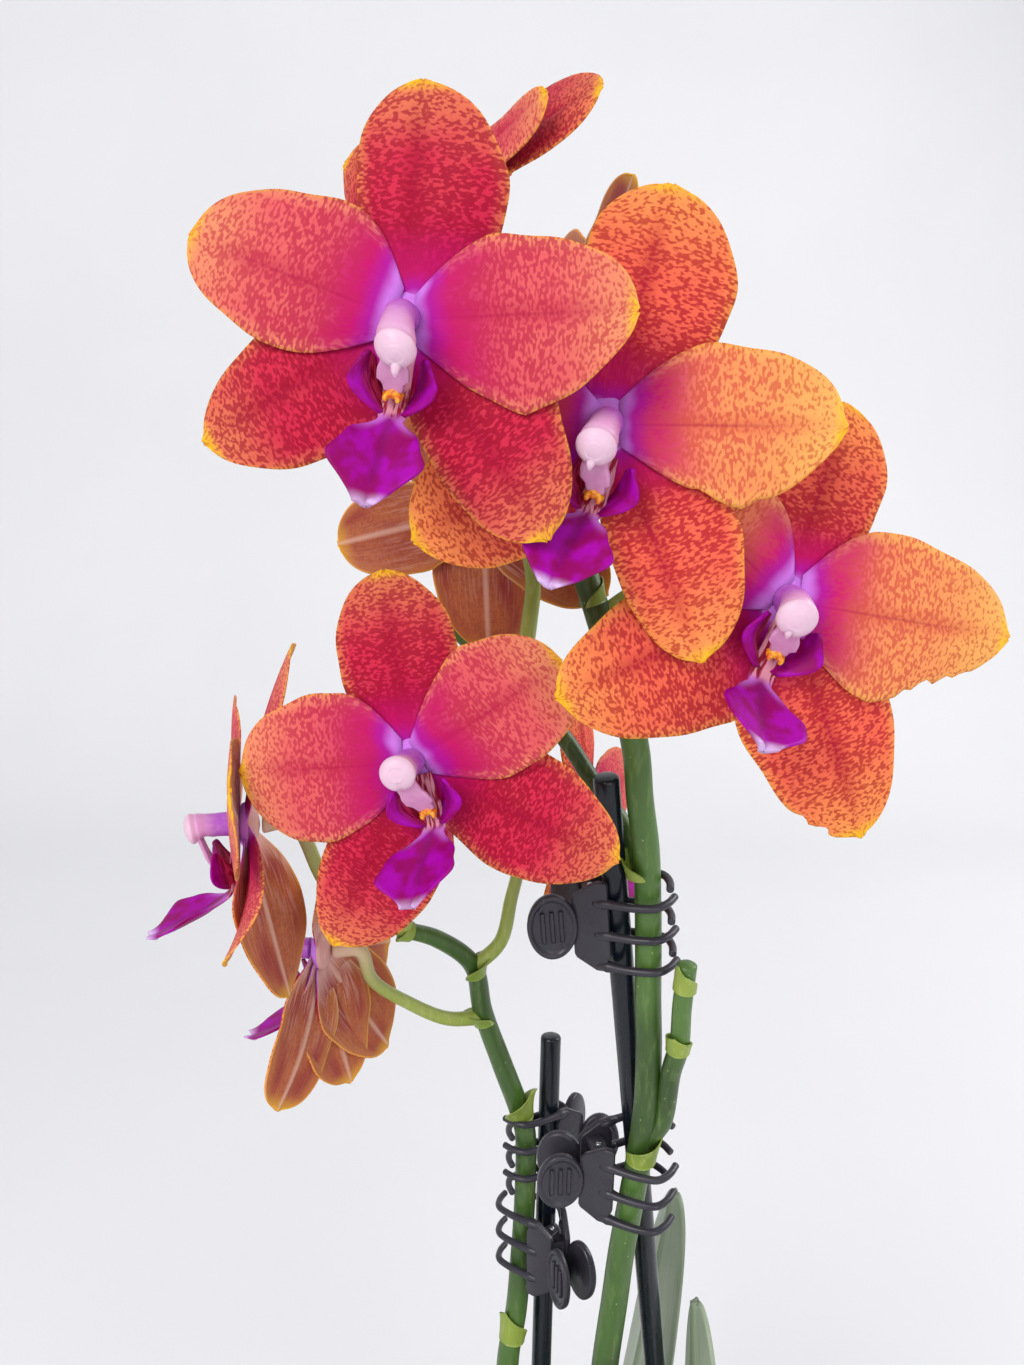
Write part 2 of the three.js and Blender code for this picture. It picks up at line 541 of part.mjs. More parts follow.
function leaf({ path, across, half, fold }) {
  const curve = new THREE.CatmullRomCurve3(path.map(vec));
  const wide = vec(across).normalize();
  const surface = (s, t) => {
    const u = THREE.MathUtils.clamp(s, 0, 1);
    const tangent = curve.getTangent(u);
    const side = wide.clone().addScaledVector(tangent, -wide.dot(tangent)).normalize();
    const lift = side.clone().cross(tangent);
    const w = half * tepalWidth(LEAF_FORM, u, LEAF_WIDEST);
    return curve.getPoint(u)
      .addScaledVector(side, w * t)
      .addScaledVector(lift, fold * w * Math.abs(t));
  };
  return blade([0.02, 0.18, 0.36, 0.54, 0.7, 0.84, 0.94, 0.985], 4, surface, (s, t) => 2.2 - 1.2 * t * t);
}

LEAVES.forEach((one, i) => add(`leaf_${i + 1}`, leaf(one), 'leaf'));

// Pot

const POT_TURNS = 20;
const WIDENS = RIM_RADIUS - 1.5 - FOOT_RADIUS;
const flare = (z) => FOOT_RADIUS + WIDENS * Math.sin((Math.PI / 2) * Math.min(z / POT_HEIGHT, 1));
const inner = (z) => flare(z) - POT_WALL;

const outside = [4, 35, 70, 103].map((z) => [flare(z), z]);
const inside = [103, 70, 35, POT_FLOOR + 2].map((z) => [inner(z), z]);
add('pot', turned([[0, 0], [FOOT_RADIUS - 2, 0], ...outside, [RIM_RADIUS, 105], [RIM_RADIUS, POT_HEIGHT - 1],
  [RIM_RADIUS - 1.4, POT_HEIGHT], [RIM_RADIUS - POT_WALL, POT_HEIGHT - 1], ...inside,
  [inner(POT_FLOOR) - 3, POT_FLOOR], [0, POT_FLOOR]], POT_TURNS), 'pot');

// Bark, with plain holes for the canes and the plant's short stem

const stemBase = tube([[1, 2, 78], [1, 2, 96], [1, 2, 114]], [6, 7.5, 5.8], 2, 10);
const stemHole = tube([[1, 2, 76], [1, 2, 130]], [8.1, 8.1], 1, 10);

let seed = 7;
function random() {
  seed = (seed * 16807) % 2147483647;
  return seed / 2147483647;
}

function barkChip() {
  const turn = random() * Math.PI * 2;
  const reach = 14 + 34 * Math.sqrt(random());
  const chip = new THREE.BoxGeometry(14 + 8 * random(), 8 + 5 * random(), 5 + 2 * random());
  const spin = new THREE.Euler((random() - 0.5) * 0.7, (random() - 0.5) * 0.7, random() * Math.PI);
  return placed(chip, new THREE.Matrix4().makeRotationFromEuler(spin)
    .setPosition(reach * Math.cos(turn) * 0.82, reach * Math.sin(turn) * 0.82, BARK_TOP));
}

const BARK_LOW = POT_FLOOR + SEAT_GAP;
const edge = [35, 70, BARK_TOP - 1].map((z) => [inner(z) - SEAT_GAP - 0.4, z]);
const fill = turned([[0, BARK_LOW], [inner(BARK_LOW) - 5, BARK_LOW], ...edge, [0, BARK_TOP]], POT_TURNS);
let bark = join([fill, ...Array.from({ length: BARK_CHIPS }, barkChip)]);
for (const body of canes) bark = bark.subtract(body(SEAT_GAP));
bark = bark.subtract(stemHole);

// Roots and the short stem that the leaves and spikes grow from

const ROOTS = [
  [[5, 0, 92], [17, -8, 100], [28, -14, 100], [36, -18, 93], [39, -20, 86]],
  [[-5, 3, 92], [-16, 10, 100], [-28, 17, 100], [-36, 22, 93], [-39, 24, 86]],
  [[-2, -3, 92], [-9, -14, 99], [-16, -26, 99], [-20, -34, 93], [-22, -38, 86]],
];
const roots = ROOTS.map((path) => tube(path, [2.4, 2.2, 2], 5, 6));
for (const path of ROOTS) bark = bark.subtract(tube(path, [2.8, 2.6, 2.4], 5, 6));
let base = join([stemBase, ...roots]);
base = base.subtract(tube(SPIKE_1.slice(0, 2), [4, 4], 1, 8));
base = base.subtract(tube(SPIKE_2.slice(0, 2), [3.8, 3.7], 1, 8));
add('roots', base, 'root');
add('bark', bark.simplify(0.3), 'bark');

export default plant;
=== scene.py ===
"""Potted moth orchid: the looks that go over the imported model.

Lengths are written in millimetres, as in the part's source, and become metres in Shell.build.
+Z is up and the blooms face -Y.
"""

import math

import bmesh
import bpy
import numpy as np
from mathutils import Matrix, Vector


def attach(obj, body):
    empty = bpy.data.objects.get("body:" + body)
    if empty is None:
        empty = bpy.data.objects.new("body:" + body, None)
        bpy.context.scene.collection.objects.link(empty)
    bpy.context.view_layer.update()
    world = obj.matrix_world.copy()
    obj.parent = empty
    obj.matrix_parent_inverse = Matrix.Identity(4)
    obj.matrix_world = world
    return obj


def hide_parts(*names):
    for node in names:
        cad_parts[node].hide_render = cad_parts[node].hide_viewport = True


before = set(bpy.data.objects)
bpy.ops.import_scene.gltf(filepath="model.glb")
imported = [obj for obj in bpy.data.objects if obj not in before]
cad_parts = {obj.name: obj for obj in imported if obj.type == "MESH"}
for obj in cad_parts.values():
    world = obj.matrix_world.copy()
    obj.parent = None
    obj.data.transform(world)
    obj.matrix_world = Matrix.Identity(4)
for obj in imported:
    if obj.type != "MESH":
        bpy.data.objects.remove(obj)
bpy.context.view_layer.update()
MM = 0.001
rng = np.random.default_rng(11)


# Meshes

def unit(v):
    return v / np.maximum(np.linalg.norm(v, axis=-1, keepdims=True), 1e-9)


def triple(*parts):
    """Three numbers for each point, from arrays or single numbers."""
    return np.stack(np.broadcast_arrays(*parts), axis=-1)


def rotated(degrees, axis):
    return Matrix.Rotation(math.radians(degrees), 4, axis)


def put(name, data):
    """A new object in the scene."""
    made = bpy.data.objects.new(name, data)
    bpy.context.scene.collection.objects.link(made)
    return made


def carried(points, matrix):
    """Points under a 4 x 4 matrix."""
    matrix = np.array(matrix)
    return points @ matrix[:3, :3].T + matrix[:3, 3]


def around(sides):
    """The angles of a ring's points."""
    return np.linspace(0, 2 * math.pi, sides, endpoint=False)


class Shell:
    """Gathers closed bodies, in millimetres, that become one object.

    place and tone are three numbers each for a point, which the materials read."""

    def __init__(self):
        self.points, self.faces, self.slots, self.place, self.tone = [], [], [], [], []
        self.count = 0

    def add(self, points, faces, slot=0, place=None, tone=None):
        points = np.asarray(points, float).reshape(-1, 3)
        self.points.append(points)
        self.faces += [[i + self.count for i in face] for face in faces]
        self.slots += [slot] * len(faces)
        self.place.append(points if place is None else place.reshape(-1, 3))
        self.tone.append(np.zeros_like(points) if tone is None else tone.reshape(-1, 3))
        self.count += len(points)

    def add_rings(self, rings, slot=0, place=None, tone=None):
        """A closed body from rows of rings, with a flat face at each end."""
        rows, sides = rings.shape[:2]
        last = (rows - 1) * sides
        faces = grid_faces(rows, sides, closed=True)
        faces += [list(range(sides))[::-1], list(range(last, last + sides))]
        self.add(rings, faces, slot, place, tone)

    def moved(self, matrix):
        """The same bodies under a 4 x 4 matrix."""
        other = Shell()
        other.points = [carried(np.concatenate(self.points), matrix)]
        other.faces, other.slots, other.count = self.faces, self.slots, self.count
        other.place, other.tone = self.place, self.tone
        return other

    def build(self, name, materials, slot, replaces, body="root"):
        """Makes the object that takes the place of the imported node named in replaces."""
        mesh = bpy.data.meshes.new(name)
        mesh.from_pydata((np.concatenate(self.points) * MM).tolist(), [], self.faces)
        for material in materials:
            mesh.materials.append(material)
        mesh.polygons.foreach_set("use_smooth", [True] * len(mesh.polygons))
        mesh.polygons.foreach_set("material_index", self.slots)
        for key, parts in (("place", self.place), ("tone", self.tone)):
            layer = mesh.attributes.new(key, "FLOAT_VECTOR", "POINT")
            layer.data.foreach_set("vector", np.concatenate(parts).astype("f4").ravel())
        mesh.update()
        piece = put(name, mesh)
        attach(piece, body)
        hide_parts(replaces)


def grid_faces(rows, cols, start=0, closed=False, flip=False):
    """Quads of a grid of rows x cols points; closed joins the last column to the first."""
    faces = []
    for i in range(rows - 1):
        for j in range(cols if closed else cols - 1):
            k = (j + 1) % cols
            quad = [start + i * cols + j, start + i * cols + k,
                    start + (i + 1) * cols + k, start + (i + 1) * cols + j]
            faces.append(quad[::-1] if flip else quad)
    return faces


def add_blade(shell, surface, along, across, thickness, slot=0, back_slot=None, describe=None):
    """A thin closed blade. surface(s, t) is its middle, s along it and t across it from -1 to 1.

    describe(s, t, front) gives the place and tone of its points, front being 1 or 0 for the back."""
    s, t = np.meshgrid(along, across, indexing="ij")
    step = 1e-3
    middle = surface(s, t)
    normal = unit(np.cross(surface(s, t + step) - surface(s, t - step),
                           surface(s + step, t) - surface(s - step, t)))
    half = (thickness(s, t) / 2)[..., None]
    rows, cols = s.shape
    front, back = middle + normal * half, middle - normal * half
    total = rows * cols
    if describe:
        place, tone = (np.concatenate([side.reshape(-1, 3) for side in pair])
                       for pair in zip(*(describe(s, t, face) for face in (1.0, 0.0))))
    else:
        place = tone = None
    rim = (list(range(cols - 1)) + [i * cols + cols - 1 for i in range(rows - 1)]
           + [(rows - 1) * cols + j for j in range(cols - 1, 0, -1)]
           + [i * cols for i in range(rows - 1, 0, -1)])
    edge = [[b, a, a + total, b + total] for a, b in zip(rim, rim[1:] + rim[:1])]
    faces = grid_faces(rows, cols) + edge
    points = np.concatenate([front.reshape(-1, 3), back.reshape(-1, 3)])
    shell.add(points, faces, slot, place, tone)
    shell.faces += [[i + shell.count - 2 * total for i in face]
                    for face in grid_faces(rows, cols, total, flip=True)]
    shell.slots += [slot if back_slot is None else back_slot] * ((rows - 1) * (cols - 1))


def curve(points, u):
    """Points of a centripetal Catmull-Rom curve, as the part's source takes them."""
    p = np.asarray(points, float)
    p = np.vstack([2 * p[0] - p[1], p, 2 * p[-1] - p[-2]])
    place = np.clip(u, 0, 1) * (len(p) - 3)
    k = np.minimum(place.astype(int), len(p) - 4)
    w = (place - k)[:, None]
    p0, p1, p2, p3 = p[k], p[k + 1], p[k + 2], p[k + 3]
    d0, d1, d2 = (np.maximum(np.linalg.norm(b - a, axis=1, keepdims=True) ** 0.5, 1e-4)
                  for a, b in ((p0, p1), (p1, p2), (p2, p3)))
    m1 = (p1 - p0) / d0 - (p2 - p0) / (d0 + d1) + (p2 - p1) / d1
    m2 = (p2 - p1) / d1 - (p3 - p1) / (d1 + d2) + (p3 - p2) / d2
    m1, m2 = m1 * d1, m2 * d1
    return (p1 + m1 * w + (-3 * p1 + 3 * p2 - 2 * m1 - m2) * w ** 2
            + (2 * p1 - 2 * p2 + m1 + m2) * w ** 3)


def curve_grid(points, s):
    """The curve's points for a grid of s."""
    return curve(points, np.clip(s, 0, 1).ravel()).reshape(s.shape + (3,))


# Near its ends a tube narrows: where along it, and to how much of its radius
TUBE_ENDS = (0.0, 0.002, 0.01, 0.99, 0.998, 1.0)
TUBE_NARROWS = (0.05, 0.7, 1.0, 1.0, 0.7, 0.05)


def add_tube(shell, points, radii, steps, sides, slot=0, tone=None):
    """A round tube with domed ends, its radii spread evenly along it. points may be a function of u."""
    u = np.unique(np.concatenate([np.linspace(0, 1, steps + 1), TUBE_ENDS]))
    path = points(u) if callable(points) else curve(points, u)
    tangent = unit(np.gradient(path, axis=0))
    normal = np.array([1.0, 0, 0]) if abs(tangent[0][0]) < 0.9 else np.array([0, 1.0, 0])
    r = np.interp(u, np.linspace(0, 1, len(radii)), radii) * np.interp(u, TUBE_ENDS, TUBE_NARROWS)
    angle = around(sides)
    rings = []
    for p, along, radius in zip(path, tangent, r):
        normal = unit(normal - along * normal.dot(along))
        side = np.cross(along, normal)
        rings.append(p + radius * (np.cos(angle)[:, None] * normal + np.sin(angle)[:, None] * side))
    place = triple(angle, u[:, None], r[:, None])
    if tone is not None:
        tone = np.broadcast_to(tone, place.shape)
    shell.add_rings(np.array(rings), slot, place, tone)


def add_turned(shell, outline, sides, slot=0, stretch=(1, 1), matrix=None):
    """A body turned about Z from radii and heights; stretch makes it oval."""
    wide, deep = stretch
    rings = np.array([[(max(r, 0.01) * math.cos(a) * wide, max(r, 0.01) * math.sin(a) * deep, z)
                       for a in around(sides)] for r, z in outline])
    shell.add_rings(rings if matrix is None else carried(rings, matrix), slot)


def add_slab(shell, outline, low, high, bevel, matrix=None):
    """A flat outline made solid between two levels, with rounded edges."""
    bm = bmesh.new()
    face = bm.faces.new([bm.verts.new((x, y, low)) for x, y in outline])
    top = bmesh.ops.extrude_face_region(bm, geom=[face])["geom"]
    bmesh.ops.translate(bm, verts=[v for v in top if isinstance(v, bmesh.types.BMVert)],
                        vec=(0, 0, high - low))
    bmesh.ops.recalc_face_normals(bm, faces=bm.faces)
    bmesh.ops.bevel(bm, geom=bm.edges[:], offset=bevel, segments=2, affect="EDGES", profile=0.6)
    bm.verts.index_update()
    points = np.array([v.co for v in bm.verts])
    if matrix is not None:
        points = carried(points, matrix)
    shell.add(points, [[v.index for v in f.verts] for f in bm.faces])
    bm.free()


# Materials

def linear(code):
    """A colour written as #rrggbb, for a shader."""
    rgb = [int(code[i:i + 2], 16) / 255 for i in (1, 3, 5)]
    return tuple([c / 12.92 if c < 0.04045 else ((c + 0.055) / 1.055) ** 2.4 for c in rgb] + [1.0])


class Look:
    """A material and short names for the nodes it is made from.

    A colour is a node's output or is written as #rrggbb."""

    def __init__(self, name, **sockets):
        self.material = bpy.data.materials.new(name)
        self.material.use_nodes = True
        self.tree = self.material.node_tree
        self.shader = self.tree.nodes["Principled BSDF"]
        for key, value in sockets.items():
            self.feed(self.shader.inputs[key.replace("_", " ")], value)

    def feed(self, socket, value):
        if isinstance(value, bpy.types.NodeSocket):
            self.tree.links.new(value, socket)
        else:
            socket.default_value = value

    def node(self, kind, inputs=None, **settings):
        made = self.tree.nodes.new(kind)
        for key, value in settings.items():
            setattr(made, key, value)
        for key, value in (inputs or {}).items():
            self.feed(made.inputs[key], value)
        return made

    def math(self, operation, a, b=0.0, clamp=False):
        return self.node("ShaderNodeMath", {0: a, 1: b}, operation=operation, use_clamp=clamp).outputs[0]

    def plus(self, a, b, clamp=False):
        return self.math("ADD", a, b, clamp)

    def minus(self, a, b):
        return self.math("SUBTRACT", a, b)

    def times(self, a, b):
        return self.math("MULTIPLY", a, b)

    def far(self, value):
        """How far from 0 a value is."""
        return self.math("ABSOLUTE", value)

    def mix(self, factor, a, b):
        a, b = (linear(colour) if isinstance(colour, str) else colour for colour in (a, b))
        return self.node("ShaderNodeMix", {0: factor, 6: a, 7: b}, data_type="RGBA").outputs[2]

    def rise(self, value, low, high, start=0.0, end=1.0):
        """From start to end, smoothly, as value goes from low to high."""
        made = self.node("ShaderNodeMapRange", {0: value, 1: low, 2: high, 3: start, 4: end},
                         interpolation_type="SMOOTHSTEP")
        return made.outputs[0]

    def wash(self, a, b, value, low, high, start=0.0, end=1.0):
        """Colour a with b laid over it, by as much as rise gives."""
        return self.mix(self.rise(value, low, high, start, end), a, b)

    def attribute(self, name):
        """The three numbers that a mesh keeps for each point, as a vector and one by one."""
        vector = self.node("ShaderNodeAttribute", attribute_name=name).outputs["Vector"]
        return vector, self.node("ShaderNodeSeparateXYZ", {0: vector}).outputs

    def spot(self):
        """The place in the part's own frame, in metres."""
        return self.node("ShaderNodeTexCoord").outputs["Object"]

    def scaled(self, vector, scale):
        return self.node("ShaderNodeMapping", {0: vector, "Scale": scale}).outputs[0]

    def noise(self, vector, scale, detail=2.0, roughness=0.5, distortion=0.0):
        """Noise of one scale, or with a scale for each axis."""
        if isinstance(scale, tuple):
            vector, scale = self.scaled(vector, scale), 1.0
        return self.node("ShaderNodeTexNoise", {
            "Vector": vector, "Scale": scale, "Detail": detail, "Roughness": roughness,
            "Distortion": distortion}).outputs[0]

    def specks(self, scale):
        """The distance from the nearest of many scattered points."""
        made = self.node("ShaderNodeTexVoronoi", {"Vector": self.spot(), "Scale": scale})
        return made.outputs["Distance"]

    def colour(self, value):
        self.feed(self.shader.inputs["Base Color"], value)

    def bump(self, height, strength, distance):
        made = self.node("ShaderNodeBump", {"Strength": strength, "Distance": distance, "Height": height})
        self.feed(self.shader.inputs["Normal"], made.outputs[0])


# On tepals, place holds mm across and out from the middle and a seed, and tone holds s and the mm
# to the edge.

def tepal_look(name, base, mid, outer, ink_mid, ink_outer, cover):
    """The front of a tepal: crimson marks over its ground, magenta and lilac at the middle, yellow tip.

    The ground goes from base through mid to outer and the ink from mid to outer along it, and cover
    is how much of it the marks take."""
    look = Look(name, Roughness=0.6, Subsurface_Weight=0.08, Subsurface_Scale=0.0006,
                Subsurface_Radius=(1.0, 0.35, 0.2), Specular_IOR_Level=0.1)
    place, (across, out, _) = look.attribute("place")
    _, (s, edge, _) = look.attribute("tone")
    broad = look.noise(place, (0.14, 0.12, 5.0), 1.5)
    # marks: streaks across it near the middle, dots further out
    dots = look.noise(place, (1.4, 2.5, 7.0), 0.0)
    streaks = look.noise(place, (1.9, 1.1, 7.0), 0.0)
    beyond = look.rise(out, 7.0, 13.0)
    marks = look.plus(look.times(beyond, dots), look.times(look.minus(1.0, beyond), streaks))
    reach = look.plus(look.rise(s, 0.3, 0.95, cover + 0.06, cover - 0.05),
                      look.rise(edge, 0.2, 1.8, -0.04, 0.0))
    reach = look.plus(reach, look.rise(broad, 0.3, 0.7, -0.03, 0.03))
    marked = look.rise(look.minus(reach, marks), -0.11, 0.11)
    # the ground, with a thin rim and a tip of its own
    outward = look.math("MAXIMUM", look.rise(s, 0.62, 1.0), look.rise(edge, 0.2, 2.6, 0.7, 0.0))
    outward = look.plus(outward, look.rise(broad, 0.3, 0.7, -0.1, 0.1), clamp=True)
    ground = look.mix(outward, look.wash(base, mid, out, 6.0, 18.0), outer)
    ground = look.wash(ground, "#f0a63c", edge, 0.05, 0.5, 0.6, 0.0)
    tip = look.times(look.rise(s, 0.94, 0.995, 0.0, 0.9), look.rise(broad, 0.3, 0.55, 0.4, 1.0))
    ground = look.mix(tip, ground, "#f4bd22")
    ink = look.wash(ink_mid, ink_outer, s, 0.5, 0.97)
    colour = look.mix(look.times(marked, look.rise(s, 0.92, 1.0, 0.8, 0.45)), ground, ink)
    # the midrib: a broad shade and a thin line
    rib = look.times(look.rise(look.far(across), 0.0, 2.8, 0.5, 0.0), look.rise(s, 0.7, 0.96, 1.0, 0.2))
    colour = look.mix(rib, colour, ink_mid)
    line = look.rise(look.far(across), 0.05, 0.35, 0.4, 0.0)
    colour = look.mix(look.times(line, look.rise(s, 0.5, 0.9, 1.0, 0.0)), colour, "#a00a3c")
    fringe = look.plus(out, look.rise(broad, 0.3, 0.7, -0.6, 0.6))
    colour = look.wash(colour, "#be0868", fringe, 5.0, 13.0, 0.7, 0.0)
    colour = look.wash(colour, "#a612a0", fringe, 3.2, 7.2, 0.85, 0.0)
    look.colour(look.wash(colour, "#d48cf0", fringe, 2.0, 4.3, 0.75, 0.0))
    cells = look.noise(look.scaled(place, (1.6, 1.6, 3.0)), 2.4, 2.0)
    veins = look.noise(place, (0.9, 0.07, 3.0), 1.5)
    look.bump(look.plus(look.times(cells, 0.6), look.times(veins, 1.2)), 0.35, 0.00025)
    return look.material


def back_look():
    """The back of a tepal: red-brown with pale veins, tan towards its edges, with a thin orange rim, and
    faint painted shadows of the front's crimson blotches showing through.
    """
    look = Look("tepal_back", Roughness=0.5, Subsurface_Weight=0.1, Subsurface_Scale=0.0008,
                Subsurface_Radius=(1.0, 0.4, 0.25), Specular_IOR_Level=0.3)
    place, (across, out, _) = look.attribute("place")
    _, (s, edge, _) = look.attribute("tone")
    marks = look.noise(place, (1.4, 1.8, 7.0), 0.6, 0.4, 0.2)
    broad = look.noise(place, (0.14, 0.07, 5.0), 1.5)
    colour = look.wash("#96342e", "#b26038", broad, 0.32, 0.62)
    # painted shadow: faint dark crimson marks, the front's blotches showing through the thin tepal
    colour = look.wash(colour, "#862c30", marks, 0.38, 0.56, 0.3, 0.0)
    colour = look.wash(colour, "#c07a3c", edge, 0.4, 3.2, 0.5, 0.0)
    colour = look.wash(colour, "#e8a840", edge, 0.1, 0.55, 0.8, 0.0)
    colour = look.wash(colour, "#d9a02c", s, 0.9, 1.0, 0.0, 0.7)
    colour = look.wash(colour, "#dfb4a2", look.far(across), 0.1, 1.0, 0.6, 0.0)
    colour = look.wash(colour, "#d8a8a4", out, 3.0, 10.0, 0.75, 0.0)
    veins = look.noise(look.scaled(place, (1.4, 0.1, 3.0)), 1.4, 2.0)
    pale = look.times(look.rise(veins, 0.48, 0.66, 0.0, 0.5), look.rise(s, 0.1, 0.85, 1.0, 0.1))
    look.colour(look.mix(pale, colour, "#deb0a6"))
    look.bump(veins, 0.4, 0.0003)
    return look.material


def lip_look():
    """The lip: magenta, with a darker groove, lilac shoulders, a whitish tip and a streaked red claw.

    place holds mm across and along and a seed. tone holds s, the mm to the edge, and how much of the
    dark red of a side lobe's inner face there is."""
    look = Look("lip_magenta", Roughness=0.5, Subsurface_Weight=0.06, Subsurface_Scale=0.0006,
                Subsurface_Radius=(1.0, 0.2, 0.8), Specular_IOR_Level=0.12)
    place, (across, _, _) = look.attribute("place")
    _, (s, edge, inside) = look.attribute("tone")
    broad = look.noise(place, (0.35, 0.3, 5.0), 2.0)
    streaks = look.noise(place, (1.9, 0.3, 5.0), 1.0, 0.5, 0.2)
    colour = look.wash("#8e005e", "#a200a0", broad, 0.35, 0.65)
    groove = look.rise(look.far(across), 0.1, 1.5, 0.7, 0.0)
    colour = look.mix(look.times(groove, look.rise(s, 0.8, 0.97, 1.0, 0.0)), colour, "#7c005c")
    shoulder = look.times(look.rise(s, 0.48, 0.64, 0.75, 0.0), look.rise(edge, 0.3, 2.0, 1.0, 0.05))
    colour = look.mix(shoulder, colour, "#c878d8")
    tip = look.times(look.rise(s, 0.93, 1.0, 0.0, 0.9), look.rise(broad, 0.35, 0.6, 0.6, 1.0))
    colour = look.mix(tip, colour, "#e2c4f2")
    claw = look.wash("#8a0c2c", "#d28a9c", streaks, 0.4, 0.56)
    colour = look.wash(colour, claw, s, 0.38, 0.48, 1.0, 0.0)
    look.colour(look.mix(inside, colour, look.wash("#76061e", "#b02a50", streaks, 0.42, 0.58)))
    look.bump(look.noise(look.scaled(place, (1.2, 0.5, 5.0)), 1.4, 2.0), 0.3, 0.0002)
    return look.material


def plain_look(name, low, high, scale, roughness, bump, distance, **sockets):
    """Two tones in a soft pattern, with a bump of the same grain."""
    look = Look(name, Roughness=roughness, **sockets)
    grain = look.noise(look.spot(), scale, 3.0, 0.55)
    look.colour(look.wash(low, high, grain, 0.3, 0.7))
    look.bump(grain, bump, distance)
    return look.material


def column_look():
    """Lilac at the column's foot, pinkish white at its cap and on the plate under it.

    tone holds u along it, and how mauve it is in its third number."""
    look = Look("column_wax", Roughness=0.4, Subsurface_Weight=0.2, Subsurface_Scale=0.001,
                Subsurface_Radius=(1.0, 0.6, 0.9))
    _, (s, _, mauve) = look.attribute("tone")
    grain = look.noise(look.spot(), 900.0, 2.0)
    colour = look.wash("#b050c4", "#d89cc8", s, 0.2, 0.62)
    colour = look.wash(colour, "#e0bccf", s, 0.6, 0.85)
    colour = look.mix(mauve, colour, "#b4467a")
    look.colour(look.wash(colour, "#dcaccc", grain, 0.35, 0.65, 0.0, 0.2))
    look.bump(grain, 0.15, 0.0002)
    return look.material


def stem_look(name, dark, green, pale, end=None):
    """Living stem: darker and more olive in patches, with fine lengthwise streaks and dots.

    end is the colour it fades to at the bloom."""
    look = Look(name, Roughness=0.4, Subsurface_Weight=0.05, Subsurface_Scale=0.001)
    spot = look.spot()
    fine = look.noise(spot, (900, 900, 160), 3.0, 0.6)
    colour = look.wash(dark, green, look.noise(spot, (60, 60, 22), 3.0), 0.35, 0.68)
    colour = look.wash(colour, pale, fine, 0.5, 0.75, 0.0, 0.3)
    colour = look.wash(colour, "#c6cf95", look.specks(420.0), 0.04, 0.1, 0.4, 0.0)
    if end:
        _, (_, along, _) = look.attribute("place")
        colour = look.wash(colour, end, along, 0.45, 1.0, 0.0, 0.85)
    look.colour(colour)
    look.bump(fine, 0.25, 0.0003)
    return look.material


def leaf_look():
    look = Look("leaf_wax", Roughness=0.4, Subsurface_Weight=0.06, Subsurface_Scale=0.002)
    place, (across, _, _) = look.attribute("place")
    veins = look.noise(place, (1.3, 0.05, 3.0), 3.0)
    colour = look.wash("#74846a", "#98a48e", look.noise(look.spot(), (35, 35, 18), 3.0), 0.3, 0.7)
    colour = look.wash(colour, "#566a44", veins, 0.45, 0.7, 0.0, 0.3)
    look.colour(look.wash(colour, "#4c6230", look.far(across), 0.2, 1.8, 0.5, 0.0))
    look.bump(veins, 0.25, 0.0005)
    return look.material


def plastic_look():
    look = Look("clip_plastic", Specular_IOR_Level=0.4)
    broad = look.noise(look.spot(), 160.0, 3.0)
    look.colour(look.mix(broad, "#232127", "#3b3842"))
    look.feed(look.shader.inputs["Roughness"], look.rise(broad, 0.3, 0.7, 0.26, 0.42))
    look.bump(look.noise(look.spot(), 2600.0, 2.0), 0.12, 0.0001)
    return look.material


def cane_look():
    look = Look("cane_coating", Specular_IOR_Level=0.35, Coat_Weight=0.1, Coat_Roughness=0.15)
    streaks = look.noise(look.spot(), (700, 700, 40), 3.0)
    look.colour(look.mix(streaks, "#080c12", "#121a26"))
    look.feed(look.shader.inputs["Roughness"], look.rise(streaks, 0.3, 0.7, 0.2, 0.34))
    look.bump(streaks, 0.2, 0.0002)
    return look.material


def pot_look():
    look = Look("pot_glaze", Roughness=0.16, Coat_Weight=0.5, Coat_Roughness=0.06)
    broad = look.noise(look.spot(), 30.0, 3.0)
    colour = look.wash("#e7e3da", "#f1eee8", broad, 0.3, 0.7)
    look.colour(look.wash(colour, "#b9ae9c", look.specks(500.0), 0.03, 0.07, 0.35, 0.0))
    look.bump(broad, 0.15, 0.0012)
    return look.material


def bark_look():
    """Bark: place runs along a chip, and tone's first number is how pale that chip is."""
    look = Look("bark_chips", Roughness=0.85)
    place, _ = look.attribute("place")
    _, (shade, _, _) = look.attribute("tone")
    fibres = look.noise(look.scaled(place, (0.9, 0.16, 0.9)), 1.4, 5.0, 0.65)
    colour = look.wash("#3a2417", "#7d5537", fibres, 0.3, 0.7)
    look.colour(look.mix(look.times(shade, 0.6), colour, "#9a7450"))
    look.bump(fibres, 0.8, 0.0008)
    return look.material


BACK = back_look()
# Fronts from pinkest to most orange; each bloom names its sepals' and its petals'
FRONTS = {
    "deep": tepal_look("tepal_deep", "#b0004a", "#ca2846", "#da7650", "#960028", "#9e2030", 0.54),
    "rose": tepal_look("tepal_rose", "#bc0c5c", "#d85a5c", "#e28c64", "#b42444", "#be4644", 0.5),
    "coral": tepal_look("tepal_coral", "#c0084a", "#e8624a", "#f09250", "#a8102a", "#ae3828", 0.49),
    "gold": tepal_look("tepal_gold", "#cc2860", "#ea9058", "#eeac5c", "#c85040", "#c46a3c", 0.45),
}
LIP = lip_look()
COLUMN = column_look()
CALLUS = plain_look("lip_callus", "#d95a12", "#f0b428", 1500.0, 0.35, 0.2, 0.0002)
STEM = stem_look("stem_green", "#2c4418", "#4c6e2e", "#7c9450")
STALK = stem_look("stalk_olive", "#84963c", "#a0ac54", "#c6ca88", "#dcb0a0")
SHEATH = stem_look("sheath_green", "#6c842c", "#8a9c3c", "#c2ca7c")
LEAF = leaf_look()
PLASTIC = plastic_look()
